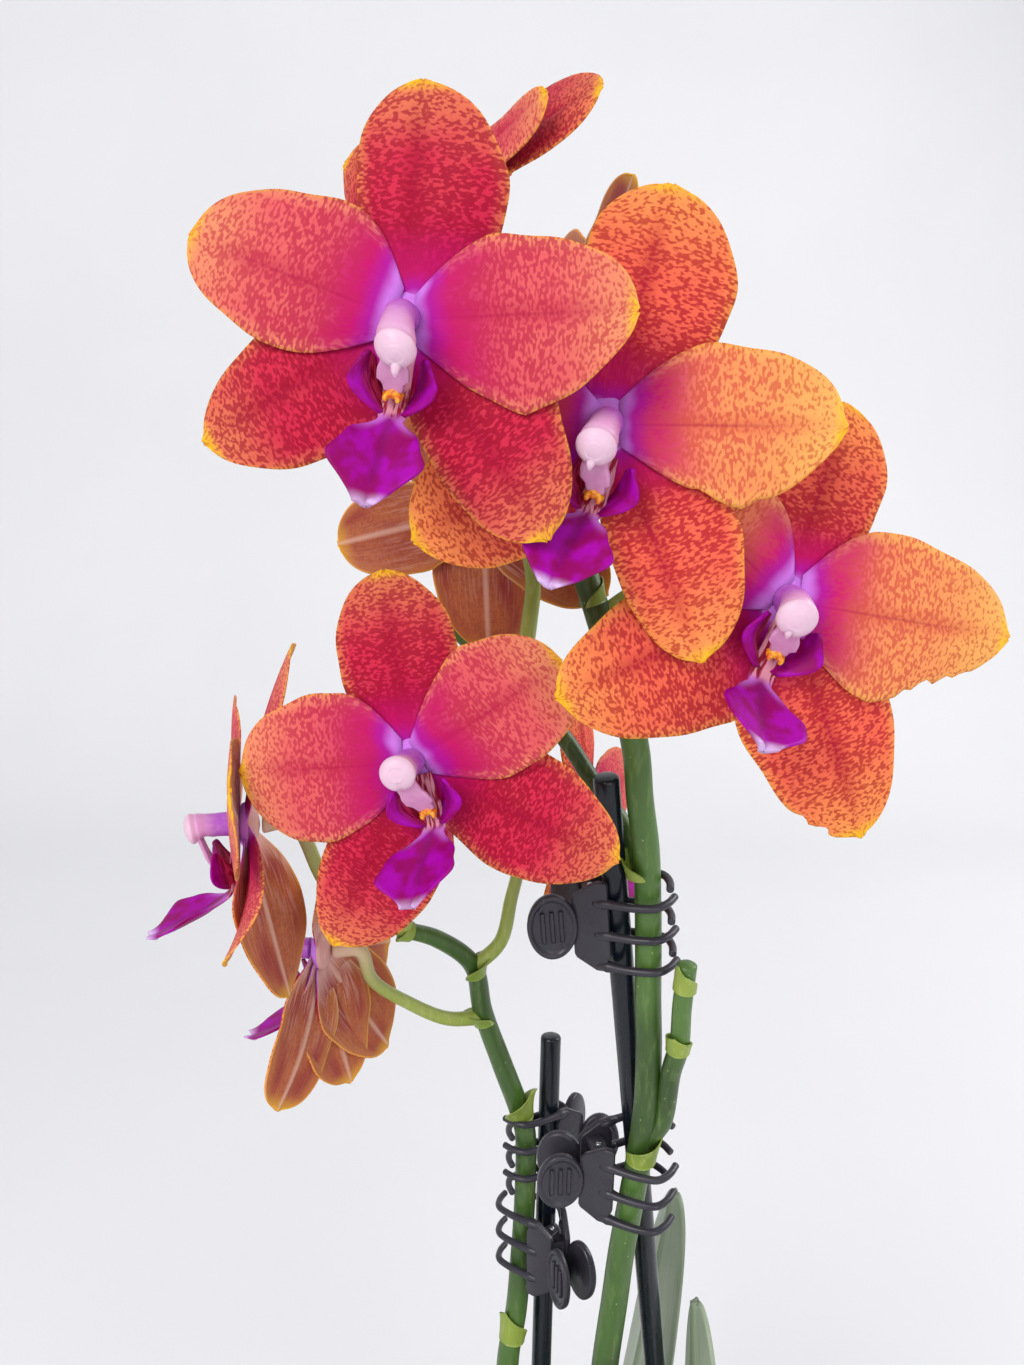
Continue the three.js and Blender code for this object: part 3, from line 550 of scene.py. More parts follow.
STEEL = plain_look("spring_steel", "#9da3a8", "#c9cdd1", 1800.0, 0.25, 0.1, 0.0001, Metallic=1.0)
CANE = cane_look()
POT = pot_look()
BARK = bark_look()
ROOT = plain_look("root_velamen", "#8a9a80", "#c3c8b8", 260.0, 0.6, 0.35, 0.0004)


# Blooms

# Outline: how full it is up to its widest place (rise) and past it (round), and the share of its
# width at its foot (claw). Lean and bend are in degrees, cup is how hollow it is, lift is in mm
FORMS = {
    "sepal": dict(rise=0.85, round=2.0, claw=0.28, lean=2, bend=-8, cup=0.12, lift=0.0),
    "petal": dict(rise=1.0, round=2.3, claw=0.16, lean=7, bend=-10, cup=0.1, lift=0.8),
    "swept": dict(rise=0.85, round=2.0, claw=0.28, lean=-7, bend=-16, cup=0.12, lift=0.0),
}
KINDS = ("sepal", "petal", "petal", "sepal", "sepal")
# The hub behind the tepals: radii and heights, the level where its back begins, and how far back a
# stalk meets it
HUB = ((0.3, -3.0), (2.4, -2.7), (3.9, -1.8), (4.4, -0.8), (3.9, 0.3), (2.4, 1.0), (0.3, 1.3))
HUB_SPLIT, HUB_SEAT = -0.5, 3.0
# Bites in the right-hand edge of a tepal, by bloom and tepal: where along it, how deep and how long
RAGGED = {
    (3, 2): ((0.6, 0.1, 0.03), (0.68, 0.18, 0.035), (0.77, 0.15, 0.03), (0.84, 0.1, 0.03)),
    (3, 4): ((0.84, 0.12, 0.03), (0.92, 0.3, 0.025)),
    (2, 2): ((0.42, 0.05, 0.03), (0.66, 0.06, 0.03)),
}

# Each tepal: angle from the top, length, half width on the left and on the right of its midrib, and
# where along it each side is widest. Some have how much of a corner each side has there, and then a
# twist about the midrib, a lean and a bend of their own.
PLAIN = (
    (0, 33, 10, 10.5, 0.6, 0.55), (-78, 31.5, 11, 12, 0.48, 0.42, 0, 0.2),
    (78, 31.5, 12, 11, 0.42, 0.48, 0.2, 0), (-128, 33, 11, 9.5, 0.42, 0.5), (132, 33, 9.5, 11, 0.5, 0.42))
# Each bloom: its middle, its turn about Z (0 faces -Y), its tilt up, its roll and its size; looks are
# the fronts of its sepals and petals. Its sepals lean back if it is swept. hang is how far its lip and
# column nod, and lip_turn and lip_roll turn both. cap is the cap's place seen from the front. lip is
# how far the lip is moved across and up, how far its tip sways, and how much shorter it is.
BLOOMS = (
    dict(at=(-24, -60, 415), turn=-8, tilt=4, size=0.967, lip_roll=10, hang=1, cap=(1.6, -4.6),
         lip=(1.0, -1.0, 0.7, 0.4), looks=("deep", "rose"), tepals=(
        (4, 31.5, 8.5, 12.5, 0.68, 0.52), (-69, 32, 9.5, 11.5, 0.48, 0.36, 0.1, 0),
        (89, 31.5, 10.5, 13, 0.42, 0.52, 0, 0.45), (-118, 33.5, 11, 9, 0.36, 0.5, 0, 0.1),
        (146, 35, 12, 8, 0.36, 0.6))),
    dict(at=(3.5, -52.5, 402), turn=-8, tilt=2, size=0.987, lip_roll=18, hang=1, cap=(0.1, -3.4),
         lip=(1.6, -0.6, -1.5, 1.8), looks=("coral", "gold"), tepals=(
        (14, 33.5, 9.5, 12.5, 0.7, 0.58), (-86, 27, 9, 9, 0.48, 0.42),
        (91, 32.5, 11, 11.5, 0.44, 0.6, 0, 0.5), (-120, 33, 11, 10.5, 0.44, 0.54),
        (157, 36.5, 12, 7, 0.5, 0.6))),
    dict(at=(31, -46.5, 376.5), turn=12, tilt=2, size=1.05, lip_turn=-7, lip_roll=24, cap=(-0.5, -1.9),
         lip=(0.8, 1.6, -0.6, 0.0), looks=("coral", "gold"), tepals=(
        (18, 29, 9.5, 10.5, 0.55, 0.6), (-48, 26, 9, 9.5, 0.5, 0.42),
        (100, 35.5, 12, 13, 0.36, 0.45, 0.1, 0.5), (-111, 35.5, 14, 9.5, 0.38, 0.4, 0.1, 0),
        (158, 39, 11.5, 12.5, 0.36, 0.36))),
    dict(at=(-26, -39, 349.5), turn=-8, tilt=2, size=1, lip_roll=-14, hang=0.7, cap=(-0.3, 0.2),
         lip=(1.4, 1.5, -3.8, 2.2), looks=("deep", "rose"), tepals=(
        (-9, 31, 10, 10, 0.6, 0.52), (-95, 28.5, 13, 12, 0.56, 0.4, 0.1, 0),
        (55, 29.5, 11, 11, 0.6, 0.54, 0.15, 0), (-156, 35.5, 12.5, 8, 0.43, 0.43),
        (115, 36.5, 11, 10.5, 0.36, 0.6, 0, 0.1))),
    dict(at=(-60, -15.5, 331), turn=-77, tilt=2, size=1, swept=True, looks=("rose", "rose"), tepals=(
        (0, 35, 8, 8.5, 0.6, 0.55), (-60, 31, 12, 12, 0.48, 0.42),
        (62, 31, 12, 12, 0.42, 0.48), (178, 35, 10, 10, 0.42, 0.5, 0, 0, -35, -11, -4),
        (148, 26, 9, 9, 0.5, 0.42, 0, 0, 8, -16, 48))),
    dict(at=(-49.5, -1, 299.5), turn=-98, tilt=-2, size=0.95, looks=("rose", "rose"), tepals=(
        (0, 21, 7, 7, 0.6, 0.55, 0, 0, 0, -4, -8), (-110, 30, 11, 12, 0.48, 0.42, 0, 0, 0, -10, -14),
        (150, 33, 9.5, 8.5, 0.42, 0.48, 0, 0, -24, -6, 30),
        (-158, 32, 11, 11, 0.42, 0.5, 0, 0, -20, -15, -8), (180, 31, 11, 10, 0.5, 0.42, 0, 0, -30, -5, -8))),
    dict(at=(-22, -10, 443), turn=-42, tilt=16, roll=69, size=1, lip_roll=-12,
         looks=("deep", "rose"), tepals=(
        (0, 33, 13, 9, 0.46, 0.5, 0, 0, 22), (-66, 15, 8, 8, 0.48, 0.42, 0, 0, 0, -50, -8),
        (5, 28, 4, 7, 0.42, 0.48, 0, 0, 6, 11, 0.5), (-140, 32, 10, 10, 0.42, 0.5),
        (120, 26, 9, 9, 0.5, 0.42))),
    dict(at=(-15.5, -10.4, 389), turn=172, tilt=0, roll=104, size=0.83, hang=0.5, looks=("rose", "rose"),
         tepals=PLAIN),
    dict(at=(2, 14, 422.5), turn=112, tilt=-12, roll=-33, size=0.92, hang=0.5, looks=("coral", "gold"),
         tepals=PLAIN),
    dict(at=(6, 14, 322), turn=66, tilt=4, size=0.85, hang=0.5, looks=("coral", "rose"), tepals=PLAIN),
)


def bloom_matrix(bloom):
    """From a bloom's own frame, its face along +Z, to the part's."""
    turn, tilt = math.radians(bloom["turn"]), math.radians(bloom["tilt"])
    face = Vector((math.sin(turn) * math.cos(tilt), -math.cos(turn) * math.cos(tilt), math.sin(tilt)))
    up = Vector((-math.sin(turn) * math.sin(tilt), math.cos(turn) * math.sin(tilt), math.cos(tilt)))
    basis = Matrix((up.cross(face), up, face)).transposed().to_4x4()
    matrix = Matrix.Translation(bloom["at"]) @ basis @ rotated(-bloom.get("roll", 0), "Z")
    return matrix @ Matrix.Scale(bloom["size"], 4)


def half_width(form, s, widest, corner=0.0):
    """A tepal's half width at s, as a share of its widest, curved or, by corner, straight to a corner."""
    x = np.clip(s, 0, 1)
    claw, body = form["claw"], 1 - form["claw"]
    low = claw + body * np.sin(math.pi / 2 * np.minimum(x / widest, 1)) ** form["rise"]
    far = np.clip((x - widest) / (1 - widest), 0, 1)
    high = np.maximum(1 - far ** form["round"], 0) ** (1 / form["round"])
    line = np.where(x < widest, claw + body * x / widest, 1 - far)
    curved = np.where(x < widest, low, high)
    return (1 - corner) * curved + corner * line * (0.35 + 0.65 * (1 - far ** 6))


def tepal_surface(form, tepal, seed, bites):
    """A tepal's middle surface, and the place and tone of its points, as add_blade takes them."""
    angle, length, left, right, wide_left, wide_right, *own = tepal
    usual = (0, 0, 0, form["lean"], form["bend"])
    corner_left, corner_right, twist, lean, bend = [*own, *usual[len(own):]]
    lean, bend, turn, twist = (math.radians(value) for value in (lean, bend, angle, twist))
    phase = seed * 2.4
    point = 0.5 if abs(angle) > 90 else 0.15

    def half_at(s, t):
        return np.where(t > 0, right * half_width(form, s, wide_right, corner_right),
                        left * half_width(form, s, wide_left, corner_left))

    def surface(s, t):
        slope = lean + bend * s
        ripple = 0.02 * np.sin(11 * s + phase + np.sign(t)) + 0.012 * np.sin(23 * s + 2 * phase - t)
        bitten = sum(deep * np.exp(-((s - at) / wide) ** 2) for at, deep, wide in bites)
        half = (half_at(s, t) * (1 + ripple * np.abs(t) ** 3 * np.clip(4 * s - 0.6, 0, 1))
                * (1 - bitten * np.clip(t, 0, 1) ** 4))
        wring = twist * np.sin(math.pi / 2 * np.clip(2.5 * s, 0, 1))
        side = half * t * np.cos(wring)
        drop = form["cup"] * half * t * t - half * t * np.sin(wring)
        wave = 0.55 * np.abs(t) ** 2.5 * np.sin(8 * s + phase + 1.3 * np.sign(t))
        wave = wave * np.clip(s * 2 - 0.3, 0, 1)
        crease = -0.4 * np.exp(-(side / 0.8) ** 2) * np.clip(1.4 * s * (1.15 - s) * 2, 0, 1)
        out = (length / bend) * (np.sin(slope) - math.sin(lean)) + np.sin(slope) * drop
        out = out + point * np.exp(-(side / 0.7) ** 2) * np.clip((s - 0.95) / 0.05, 0, 1) ** 2
        fore = (-length / bend) * (np.cos(slope) - math.cos(lean)) - np.cos(slope) * drop
        fore = fore + wave + crease + form["lift"]
        return triple(out * math.sin(turn) + side * math.cos(turn),
                      out * math.cos(turn) - side * math.sin(turn), fore)

    def describe(s, t, front):
        half = half_at(s, t)
        across = t * (0.45 * np.where(t > 0, right, left) + 0.55 * half)
        edge = np.minimum((1 - np.abs(t)) * half, (1 - s) * length * 0.8)
        return triple(across, s * length, seed), triple(s, edge, 0.0)

    return surface, describe


# Where a tepal's rows and columns are, closer together towards its tip and its edges
ALONG = 1 - 0.95 * (1 - np.linspace(0, 1, 34)) ** 1.7
ALONG[-1] = 0.9995
ACROSS = np.sin(np.linspace(-math.pi / 2, math.pi / 2, 21)) * 0.25 + np.linspace(-1, 1, 21) * 0.75

# The lip's path, level with the face and nodding, and its half width by place along it
LIP_LEVEL = np.array([(0, -3.0, 1.75), (0, -8.5, 2.2), (0, -13, 2.4), (0, -15.6, 6.2), (0, -18.2, 11.8),
                      (0, -21, 17)])
LIP_NODDING = np.array([(0, -3.0, 1.75), (0, -8, 2.2), (0, -11.6, 2.8), (0, -15, 5.6), (0, -19.4, 9),
                        (0, -24.4, 12)])
LIP_AT = (0, 0.2, 0.4, 0.46, 0.58, 0.71, 0.79, 0.84, 0.91, 0.96, 1)
LIP_HALF = (1.5, 1.9, 2.0, 1.7, 3.9, 5.9, 6.5, 6.0, 4.0, 2.5, 1.7)


def lip_shell(seed, hang, shift, sway, short):
    """The lip, moved by shift; sway takes its tip sideways and short brings it in."""
    shell = Shell()
    shift = np.array([*shift, 0.0])
    line = LIP_LEVEL + (LIP_NODDING - LIP_LEVEL) * hang

    def half_at(s):
        return sum(np.interp(s + step, LIP_AT, LIP_HALF) for step in (-0.015, 0, 0.015)) / 3

    def middle(s, t):
        half = half_at(s) * (1 + 0.05 * np.abs(t) ** 3 * np.sin(31 * s + seed))
        path = curve_grid(line, s) + shift
        far = np.clip((s - 0.42) / 0.58, 0, 1)
        free = np.clip(5 * (s - 0.45), 0, 1)
        end = np.clip((s - 0.9) / 0.1, 0, 1)
        trough = 0.27 * half * (np.sqrt(t * t + 0.006) - 0.55) + 0.06 * half * t * t
        wave = 0.45 * np.sin(9 * s + seed) * np.abs(t) ** 2
        curl = end ** 2 * (1.3 * np.abs(t) - 0.7 * np.exp(-(t / 0.3) ** 2))
        lift = free * (trough + wave) + curl
        path[..., 0] += half * t * (1 - 0.25 * end) + sway * far
        path[..., 1] += lift * 0.75 - 0.8 * end * np.abs(t) + short * far
        path[..., 2] += lift * 0.75
        return path

    def mark(s, t, front):
        half = half_at(s)
        return triple(t * half, s * 25, seed), triple(s, (1 - np.abs(t)) * half, 0.0)

    add_blade(shell, middle, np.linspace(0.02, 0.995, 60), np.linspace(-1, 1, 21),
              lambda s, t: 0.35 + 0.6 * (1 - t * t), describe=mark)
    # two erect side lobes, whose front edges lean out
    for hand in (-1, 1):
        def lobe(s, t, hand=hand):
            high = 0.9 + 1.7 * np.sin(math.pi * np.clip(s, 0, 1) ** 0.85)
            front = t * hand
            x = 1.4 + 3.3 * np.sin(math.pi / 2 * np.minimum(1.5 * s, 1)) - 0.9 * s * s
            x = x + 0.75 * front * high
            return shift + triple(hand * x, -11.8 + 7.8 * s - 0.9 * s * front ** 2,
                                  3.0 + 2.2 * s + 0.85 * high * front - 0.25 * high * front ** 2)

        def lobe_mark(s, t, front, hand=hand):
            inner = front if hand < 0 else 1 - front
            flags = inner * np.clip(0.55 - 1.3 * t * hand, 0, 1)
            return triple(t * 3, s * 9, seed + hand), triple(0.7, 2.5, flags)

        add_blade(shell, lobe, 0.985 * np.sin(math.pi / 2 * np.linspace(0, 1, 24)), np.linspace(-1, 1, 15),
                  lambda s, t: 0.3 + 0.4 * (1 - t * t), describe=lobe_mark)
    # the callus: a small orange cushion with two teeth
    cushion = np.array([(-1.25, -9.4, 3.6), (0, -9.0, 4.2), (1.25, -9.4, 3.6)])
    add_tube(shell, cushion + shift, (0.5, 0.85, 0.5), 12, 14, slot=1)
    tooth = np.array([(0.6, -9.2, 4.1), (0.9, -9.8, 4.6), (0.85, -10.3, 4.6)])
    for hand in (-1, 1):
        add_tube(shell, tooth * (hand, 1, 1) + shift, (0.55, 0.45, 0.2), 10, 10, slot=1)
    return shell


def column_shell(cap, shift):
    """The column, its cap centred at cap seen from the front, and the plate down to the lip."""
    shell = Shell()
    x, y = cap
    line = np.array([(0, 0.2, 1.8), (0.12 * x, 0.2 + 0.05 * y, 4.4), (0.5 * x, 0.1 + 0.42 * y, 6.8),
                     (x, y, 9.0), (1.3 * x, 1.25 * y - 0.2, 10.6)])
    u = np.unique(np.concatenate([np.linspace(0, 1, 40), 1 - 0.05 * np.linspace(0, 1, 8) ** 2]))
    points = curve(line, u)
    along = unit(np.gradient(points, axis=0))
    side = np.array([1.0, 0, 0])
    radius = np.interp(u, (0, 0.3, 0.5, 0.64, 0.67, 0.78, 1), (2.3, 2.15, 2.35, 2.7, 2.6, 2.9, 2.7))
    radius = radius * np.sqrt(np.clip(1 - ((u - 0.76) / 0.24).clip(0, 1) ** 2.3, 0.002, 1))
    angle = around(36)
    under = np.clip(-np.sin(angle), 0, 1)
    rings = []
    for p, tangent, r, place in zip(points, along, radius, u):
        up = np.cross(tangent, side)
        hollow = 1 - 0.3 * under ** 2 * math.exp(-((place - 0.55) / 0.12) ** 2)
        furrow = 0.13 * np.exp(-((np.cos(angle)) / 0.2) ** 2) * under
        reach = r * hollow * (1 - furrow * np.clip((place - 0.74) / 0.06, 0, 1))
        rings.append(p + (reach * np.cos(angle))[:, None] * side + (reach * np.sin(angle))[:, None] * up)
    mauve = np.outer(np.exp(-((u - 0.56) / 0.08) ** 2), under) * 0.5
    shell.add_rings(np.array(rings), tone=triple(u[:, None], 0.0, mauve))
    # the small beak under the cap, and the plate that runs down from it to the lip
    tip = points[-1]
    add_tube(shell, [tip + (0, -0.4, -1.8), tip + (0, -1.8, -1.6), tip + (0.1, -2.5, -1.9)],
             (0.9, 0.55, 0.15), 12, 14, tone=(1.0, 0, 0))
    low, foot = points[int(0.52 * len(points))] + (0, -1.5, 0), np.array([shift[0], shift[1] - 8.7, 4.2])
    strap = np.array([low, (low + foot) / 2 + (0, -0.2, 0.3), foot])

    def plate(s, t):
        half = np.interp(s, (0, 0.35, 0.5, 0.72, 0.82, 1), (1.8, 1.8, 2.15, 2.2, 1.5, 1.3))
        path = curve_grid(strap, s)
        path[..., 0] += half * t
        path[..., 2] += 0.15 * half * t * t
        return path

    def plate_mark(s, t, front):
        return triple(t, s * 6, 0.0), triple(0.62 + 0 * s, 0.0, 0.25)

    add_blade(shell, plate, np.linspace(0, 1, 26), np.linspace(-1, 1, 11), lambda s, t: 0.9 - 0.3 * t * t,
              describe=plate_mark)
    return shell


for number, bloom in enumerate(BLOOMS, 1):
    matrix = bloom_matrix(bloom)
    shell = Shell()
    add_turned(shell, HUB, 20)
    hub, = shell.points
    shell.slots = [0 if hub[face, 2].mean() > HUB_SPLIT else 2 for face in shell.faces]
    shell.place, shell.tone = [hub * (1, 0, 1) + (0, 2, 0)], [0 * hub + (0.1, 9, 0)]
    for k, (kind, tepal) in enumerate(zip(KINDS, bloom["tepals"])):
        form = FORMS["swept" if bloom.get("swept") and kind == "sepal" else kind]
        seed = number * 5 + k + 0.37
        surface, describe = tepal_surface(form, tepal, seed, RAGGED.get((number, k), ()))
        add_blade(shell, surface, ALONG, ACROSS, lambda s, t: 0.26 + 0.4 * (1 - t * t),
                  slot=0 if kind == "sepal" else 1, back_slot=2, describe=describe)
    fronts = [FRONTS[look] for look in bloom["looks"]]
    shell.moved(matrix).build(f"tepals_{number}", [*fronts, BACK], "tepal", f"bloom_{number}_tepals")
    inside = matrix @ rotated(bloom.get("lip_turn", 0), "Y") @ rotated(-bloom.get("lip_roll", 0), "Z")
    hang = bloom.get("hang", 0)
    *shift, sway, short = bloom.get("lip", (0, 0, 0, 0))
    lip = lip_shell(number * 1.7, hang, shift, sway, short)
    lip.moved(inside).build(f"lip_{number}", [LIP, CALLUS], "lip", f"bloom_{number}_lip")
    column = column_shell(bloom.get("cap", (0, -0.5 - 2.8 * hang)), shift)
    column.moved(inside).build(f"column_{number}", [COLUMN], "column", f"bloom_{number}_column")


# Flower spikes

# Between a stalk's end and its bloom's hub
SEAT_GAP = 0.3
SPIKE_1 = [
    (5, 1, 104), (6.5, 0, 140), (8.5, -3, 175), (10, -7, 206.5), (11.5, -9.5, 224.5), (12.5, -12, 238.5),
    (14, -13.8, 251.5), (15.3, -16, 264), (16, -18.4, 275.5), (16, -19.6, 287.5), (15.5, -20.5, 298.5),
    (15.2, -21.3, 309), (14.8, -22, 319), (14, -24, 329), (12.5, -25.5, 339), (11.5, -26.5, 348),
    (9, -26, 358.5), (6, -25.5, 367.5), (3, -25.5, 376.5), (-0.5, -25.5, 385), (-5, -26, 396),
    (-10, -27, 407), (-14.5, -27.5, 416), (-17.5, -27, 423)]
BRANCH = [(14, -23, 325), (10.5, -18, 331.5), (5, -14.5, 339), (-0.5, -12, 347), (-9.5, -9.5, 356),
          (-19.5, -6, 365), (-23.5, -5.5, 368.5)]
STUB = [(16.5, -17, 267), (19, -19, 272), (20, -22, 284.5), (21, -24, 291), (21, -26, 300),
        (21.5, -27.5, 309)]
SPIKE_2 = [
    (-4, 6, 104), (-7, 8, 128), (-11, 12, 156), (-11, 14, 188), (-9, 15, 201.5), (-8, 16, 213.5),
    (-7, 17, 230), (-7, 18, 246), (-8.5, 18, 252), (-12.5, 16.5, 264.5), (-16.5, 15, 277.5),
    (-18.5, 12.5, 289.5), (-25.5, 7, 298), (-32.5, 1, 303)]
STALKS_1 = {
    1: [(-12.5, -27.5, 411), (-17, -33, 410.5), (-21.5, -43, 412)],
    2: [(0, -25.5, 384), (2.5, -28, 390), (3.5, -36, 398)],
    3: [(5, -25.5, 371), (12, -24, 375.5), (21.5, -27.5, 377)],
    7: [(-17, -27, 422), (-15.5, -20, 427), (-13.5, -9, 434)],
    9: [(-5, -26, 396), (-0.5, -23, 404), (0.5, -9, 416.5)],
    8: [(-8.5, -10.5, 356), (-8, -16, 362), (-7, -19.5, 369), (-6.5, -22, 379), (-10, -22, 388)],
}
STALKS_2 = {
    4: [(-32, 1.5, 302.5), (-32.5, -7, 315), (-30.5, -20, 332)],
    5: [(-31.5, 1.5, 302.5), (-39, -4, 308), (-46, -9.5, 317)],
    6: [(-16.5, 15, 276), (-24, 11.5, 277.5), (-32.5, 6.5, 284), (-39, 0, 292.5)],
    10: [(-18.5, 12.5, 289), (-12.5, 11.5, 295.5), (-10, 10.5, 306.5), (-7, 8, 317.5)],
}

# A sheath: its place, the stem's way there, the side it is on, the stem's radius, its height, how far
# round the stem it goes and how much it flares
SHEATHS_1 = (
    ((15.3, -16.6, 262), (0.06, -0.2, 1), (1, -0.4, 0), 2.75, 7.5, 0.98),
    ((20.8, -23.6, 289.5), (0.05, -0.25, 1), (-0.6, -1, 0), 2.05, 5.0, 0.98),
    ((21.2, -26.6, 303), (0.05, -0.2, 1), (-1, -0.5, 0), 1.95, 6.2, 0.95, 0.02),
    ((13.6, -23.4, 324), (-0.2, -0.2, 1), (-1, 0.6, 0), 2.75, 5.5, 0.7),
    ((3.5, -25.5, 373), (-0.3, 0, 1), (1, 0.2, 0), 2.6, 4.5, 0.7),
    ((-0.2, -25.5, 383.5), (-0.35, 0, 1), (1, -0.6, 0), 2.5, 4.5, 0.7),
    ((-5, -26, 395), (-0.4, 0, 1), (0.9, 1, 0), 2.4, 4.5, 0.7),
)
SHEATHS_2 = (
    ((-7.6, 18, 248.5), (-0.3, 0, 1), (1, -0.6, 0), 2.65, 8.5, 0.8, 0.35),
    ((-15.8, 15.2, 274.5), (-0.3, -0.1, 1), (-1, -0.3, 0), 2.4, 5, 0.7, 0.3),
    ((-18.2, 12.8, 287), (-0.1, -0.2, 1), (1, 0, 0), 2.35, 6, 0.75, 0.3),
    ((-10.2, 14.6, 193), (0.15, 0.1, 1), (-1, -1, 0), 2.75, 9, 0.9),
    ((-31, 2.2, 302), (-0.8, -0.6, 0.4), (0, -1, -0.6), 2.0, 4, 0.7),
)
# A spike: its stem, the stem's radii and steps, its side shoots with their radii, the blooms' stalks
# and its sheaths
SPIKES = (
    (SPIKE_1, (3.1, 2.9, 2.6, 2.5, 2.45, 2.4, 2.1, 1.6), 150,
     ((BRANCH, (1.9, 1.7, 1.6, 1.4)), (STUB, (1.9, 1.85, 1.95, 1.85, 1.8))), STALKS_1, SHEATHS_1),
    (SPIKE_2, (3.0, 2.7, 2.5, 2.45, 2.4, 2.1, 1.7), 130, (), STALKS_2, SHEATHS_2),
)


def add_stalk(shell, number, points):
    """A bloom's stalk: through the points and up to the bloom's hub from behind."""
    matrix = bloom_matrix(BLOOMS[number - 1])
    ends = [tuple(matrix @ Vector((0, 0, -depth))) for depth in (9, HUB_SEAT + SEAT_GAP + 0.02)]
    add_tube(shell, [*points, *ends], (1.7, 1.5, 1.35, 1.4, 1.8), 30, 12, slot=1)


def add_sheath(shell, at, axis, out, radius, height, spread=1.0, flare=0.12):
    """A scale that wraps part of the stem at a node and ends in a point."""
    axis = unit(np.array(axis, float))
    out = unit(np.array(out, float) - axis * axis.dot(out))
    side = np.cross(axis, out)
    at = np.array(at, float)

    def surface(s, t):
        turn = t * spread * (1 - 0.75 * s ** 2) * math.pi
        reach = radius + height * flare * s ** 1.5
        tall = height * s * (1 - 0.25 * np.abs(t))
        return (at + reach[..., None] * (np.cos(turn)[..., None] * out + np.sin(turn)[..., None] * side)
                + tall[..., None] * axis)

    add_blade(shell, surface, np.linspace(0, 0.98, 12), np.linspace(-1, 1, 19),
              lambda s, t: 0.55 - 0.3 * s, slot=2)


for number, (stem, radii, steps, shoots, stalks, sheaths) in enumerate(SPIKES, 1):
    shell = Shell()
    add_tube(shell, stem, radii, steps, 18)
    for path, radii in shoots:
        add_tube(shell, path, radii, 40, 14)
    for bloom_number, points in stalks.items():
        add_stalk(shell, bloom_number, points)
    for sheath in sheaths:
        add_sheath(shell, *sheath)
    shell.build(f"spike_stem_{number}", [STEM, STALK, SHEATH], "stem", f"spike_{number}")


# Canes

CANE_RADIUS = 2.35
# Each cane: its top, a lower point on it and the height of its foot
CANES = (((6.5, -25, 343), (21.5, 0.5, 203), 62), ((-1, 22.5, 267.5), (-3, 17.4, 181.5), 40))
for number, (top, low, end) in enumerate(CANES, 1):
    top, low = np.array(top, float), np.array(low, float)
    foot = top + (low - top) * (end - top[2]) / (low[2] - top[2])
    # the top is rounded over its first 0.7 mm
    dome = np.array([0, 0.12, 0.35, 0.7]) / np.linalg.norm(foot - top)
    u = np.unique(np.concatenate([dome, np.linspace(0.01, 1, 60)]))[:, None]
    axis = unit(foot - top)
    side = unit(np.cross(axis, (0, 1, 0)))
    angle = around(28)[:, None]
    ring = np.cos(angle) * side + np.sin(angle) * np.cross(axis, side)
    reach = CANE_RADIUS * np.interp(u, dome, [0.72, 0.86, 0.96, 1.0])
    shell = Shell()
    shell.add_rings((top + (foot - top) * u)[:, None, :] + reach[:, :, None] * ring)
    shell.build(f"cane_rod_{number}", [CANE], "cane", f"cane_{number}")


# Claw clips

CLIP = dict(thick=1.2, plate_out=3.25, plate_high=18.4, levels=(-4.95, 1.65, 8.25), lugs=(5.2, -4.1),
            lug_thick=1.4, lug_radius=1.6, pin=0.6, pin_long=14, spring_out=1.7, spring_long=4.8,
            pad_across=9.4, pad_high=13.4, pad_lean=28)
PRONG_PATH = ((3, 3.3), (6, 3.6), (10, 3.6), (13.2, 2.8), (14.8, 0.4), (15.4, -2.4))
# Each clip: its pin's middle, the way its prongs point, the way its pin points, how far it stands
# open, and which half is in front
CLIPS = {
    "a": dict(at=(5.0, -18.0, 314), prongs=(1, -0.37, 0), pin=(-0.08, -0.13, 1), open=2, front=-1),
    "b": dict(at=(7.2, -12.2, 257), prongs=(1, -0.02, 0), pin=(0.01, -0.17, 1), open=21, front=-1),
    "c": dict(at=(2.5, 23.3, 241), prongs=(-0.86, -0.51, 0), pin=(0.0, 0.06, 1), open=2, front=1),
    "d": dict(at=(-0.9, 11, 219), prongs=(-0.5, 0.87, 0), pin=(0.0, 0.06, 1), open=22, front=1),
}


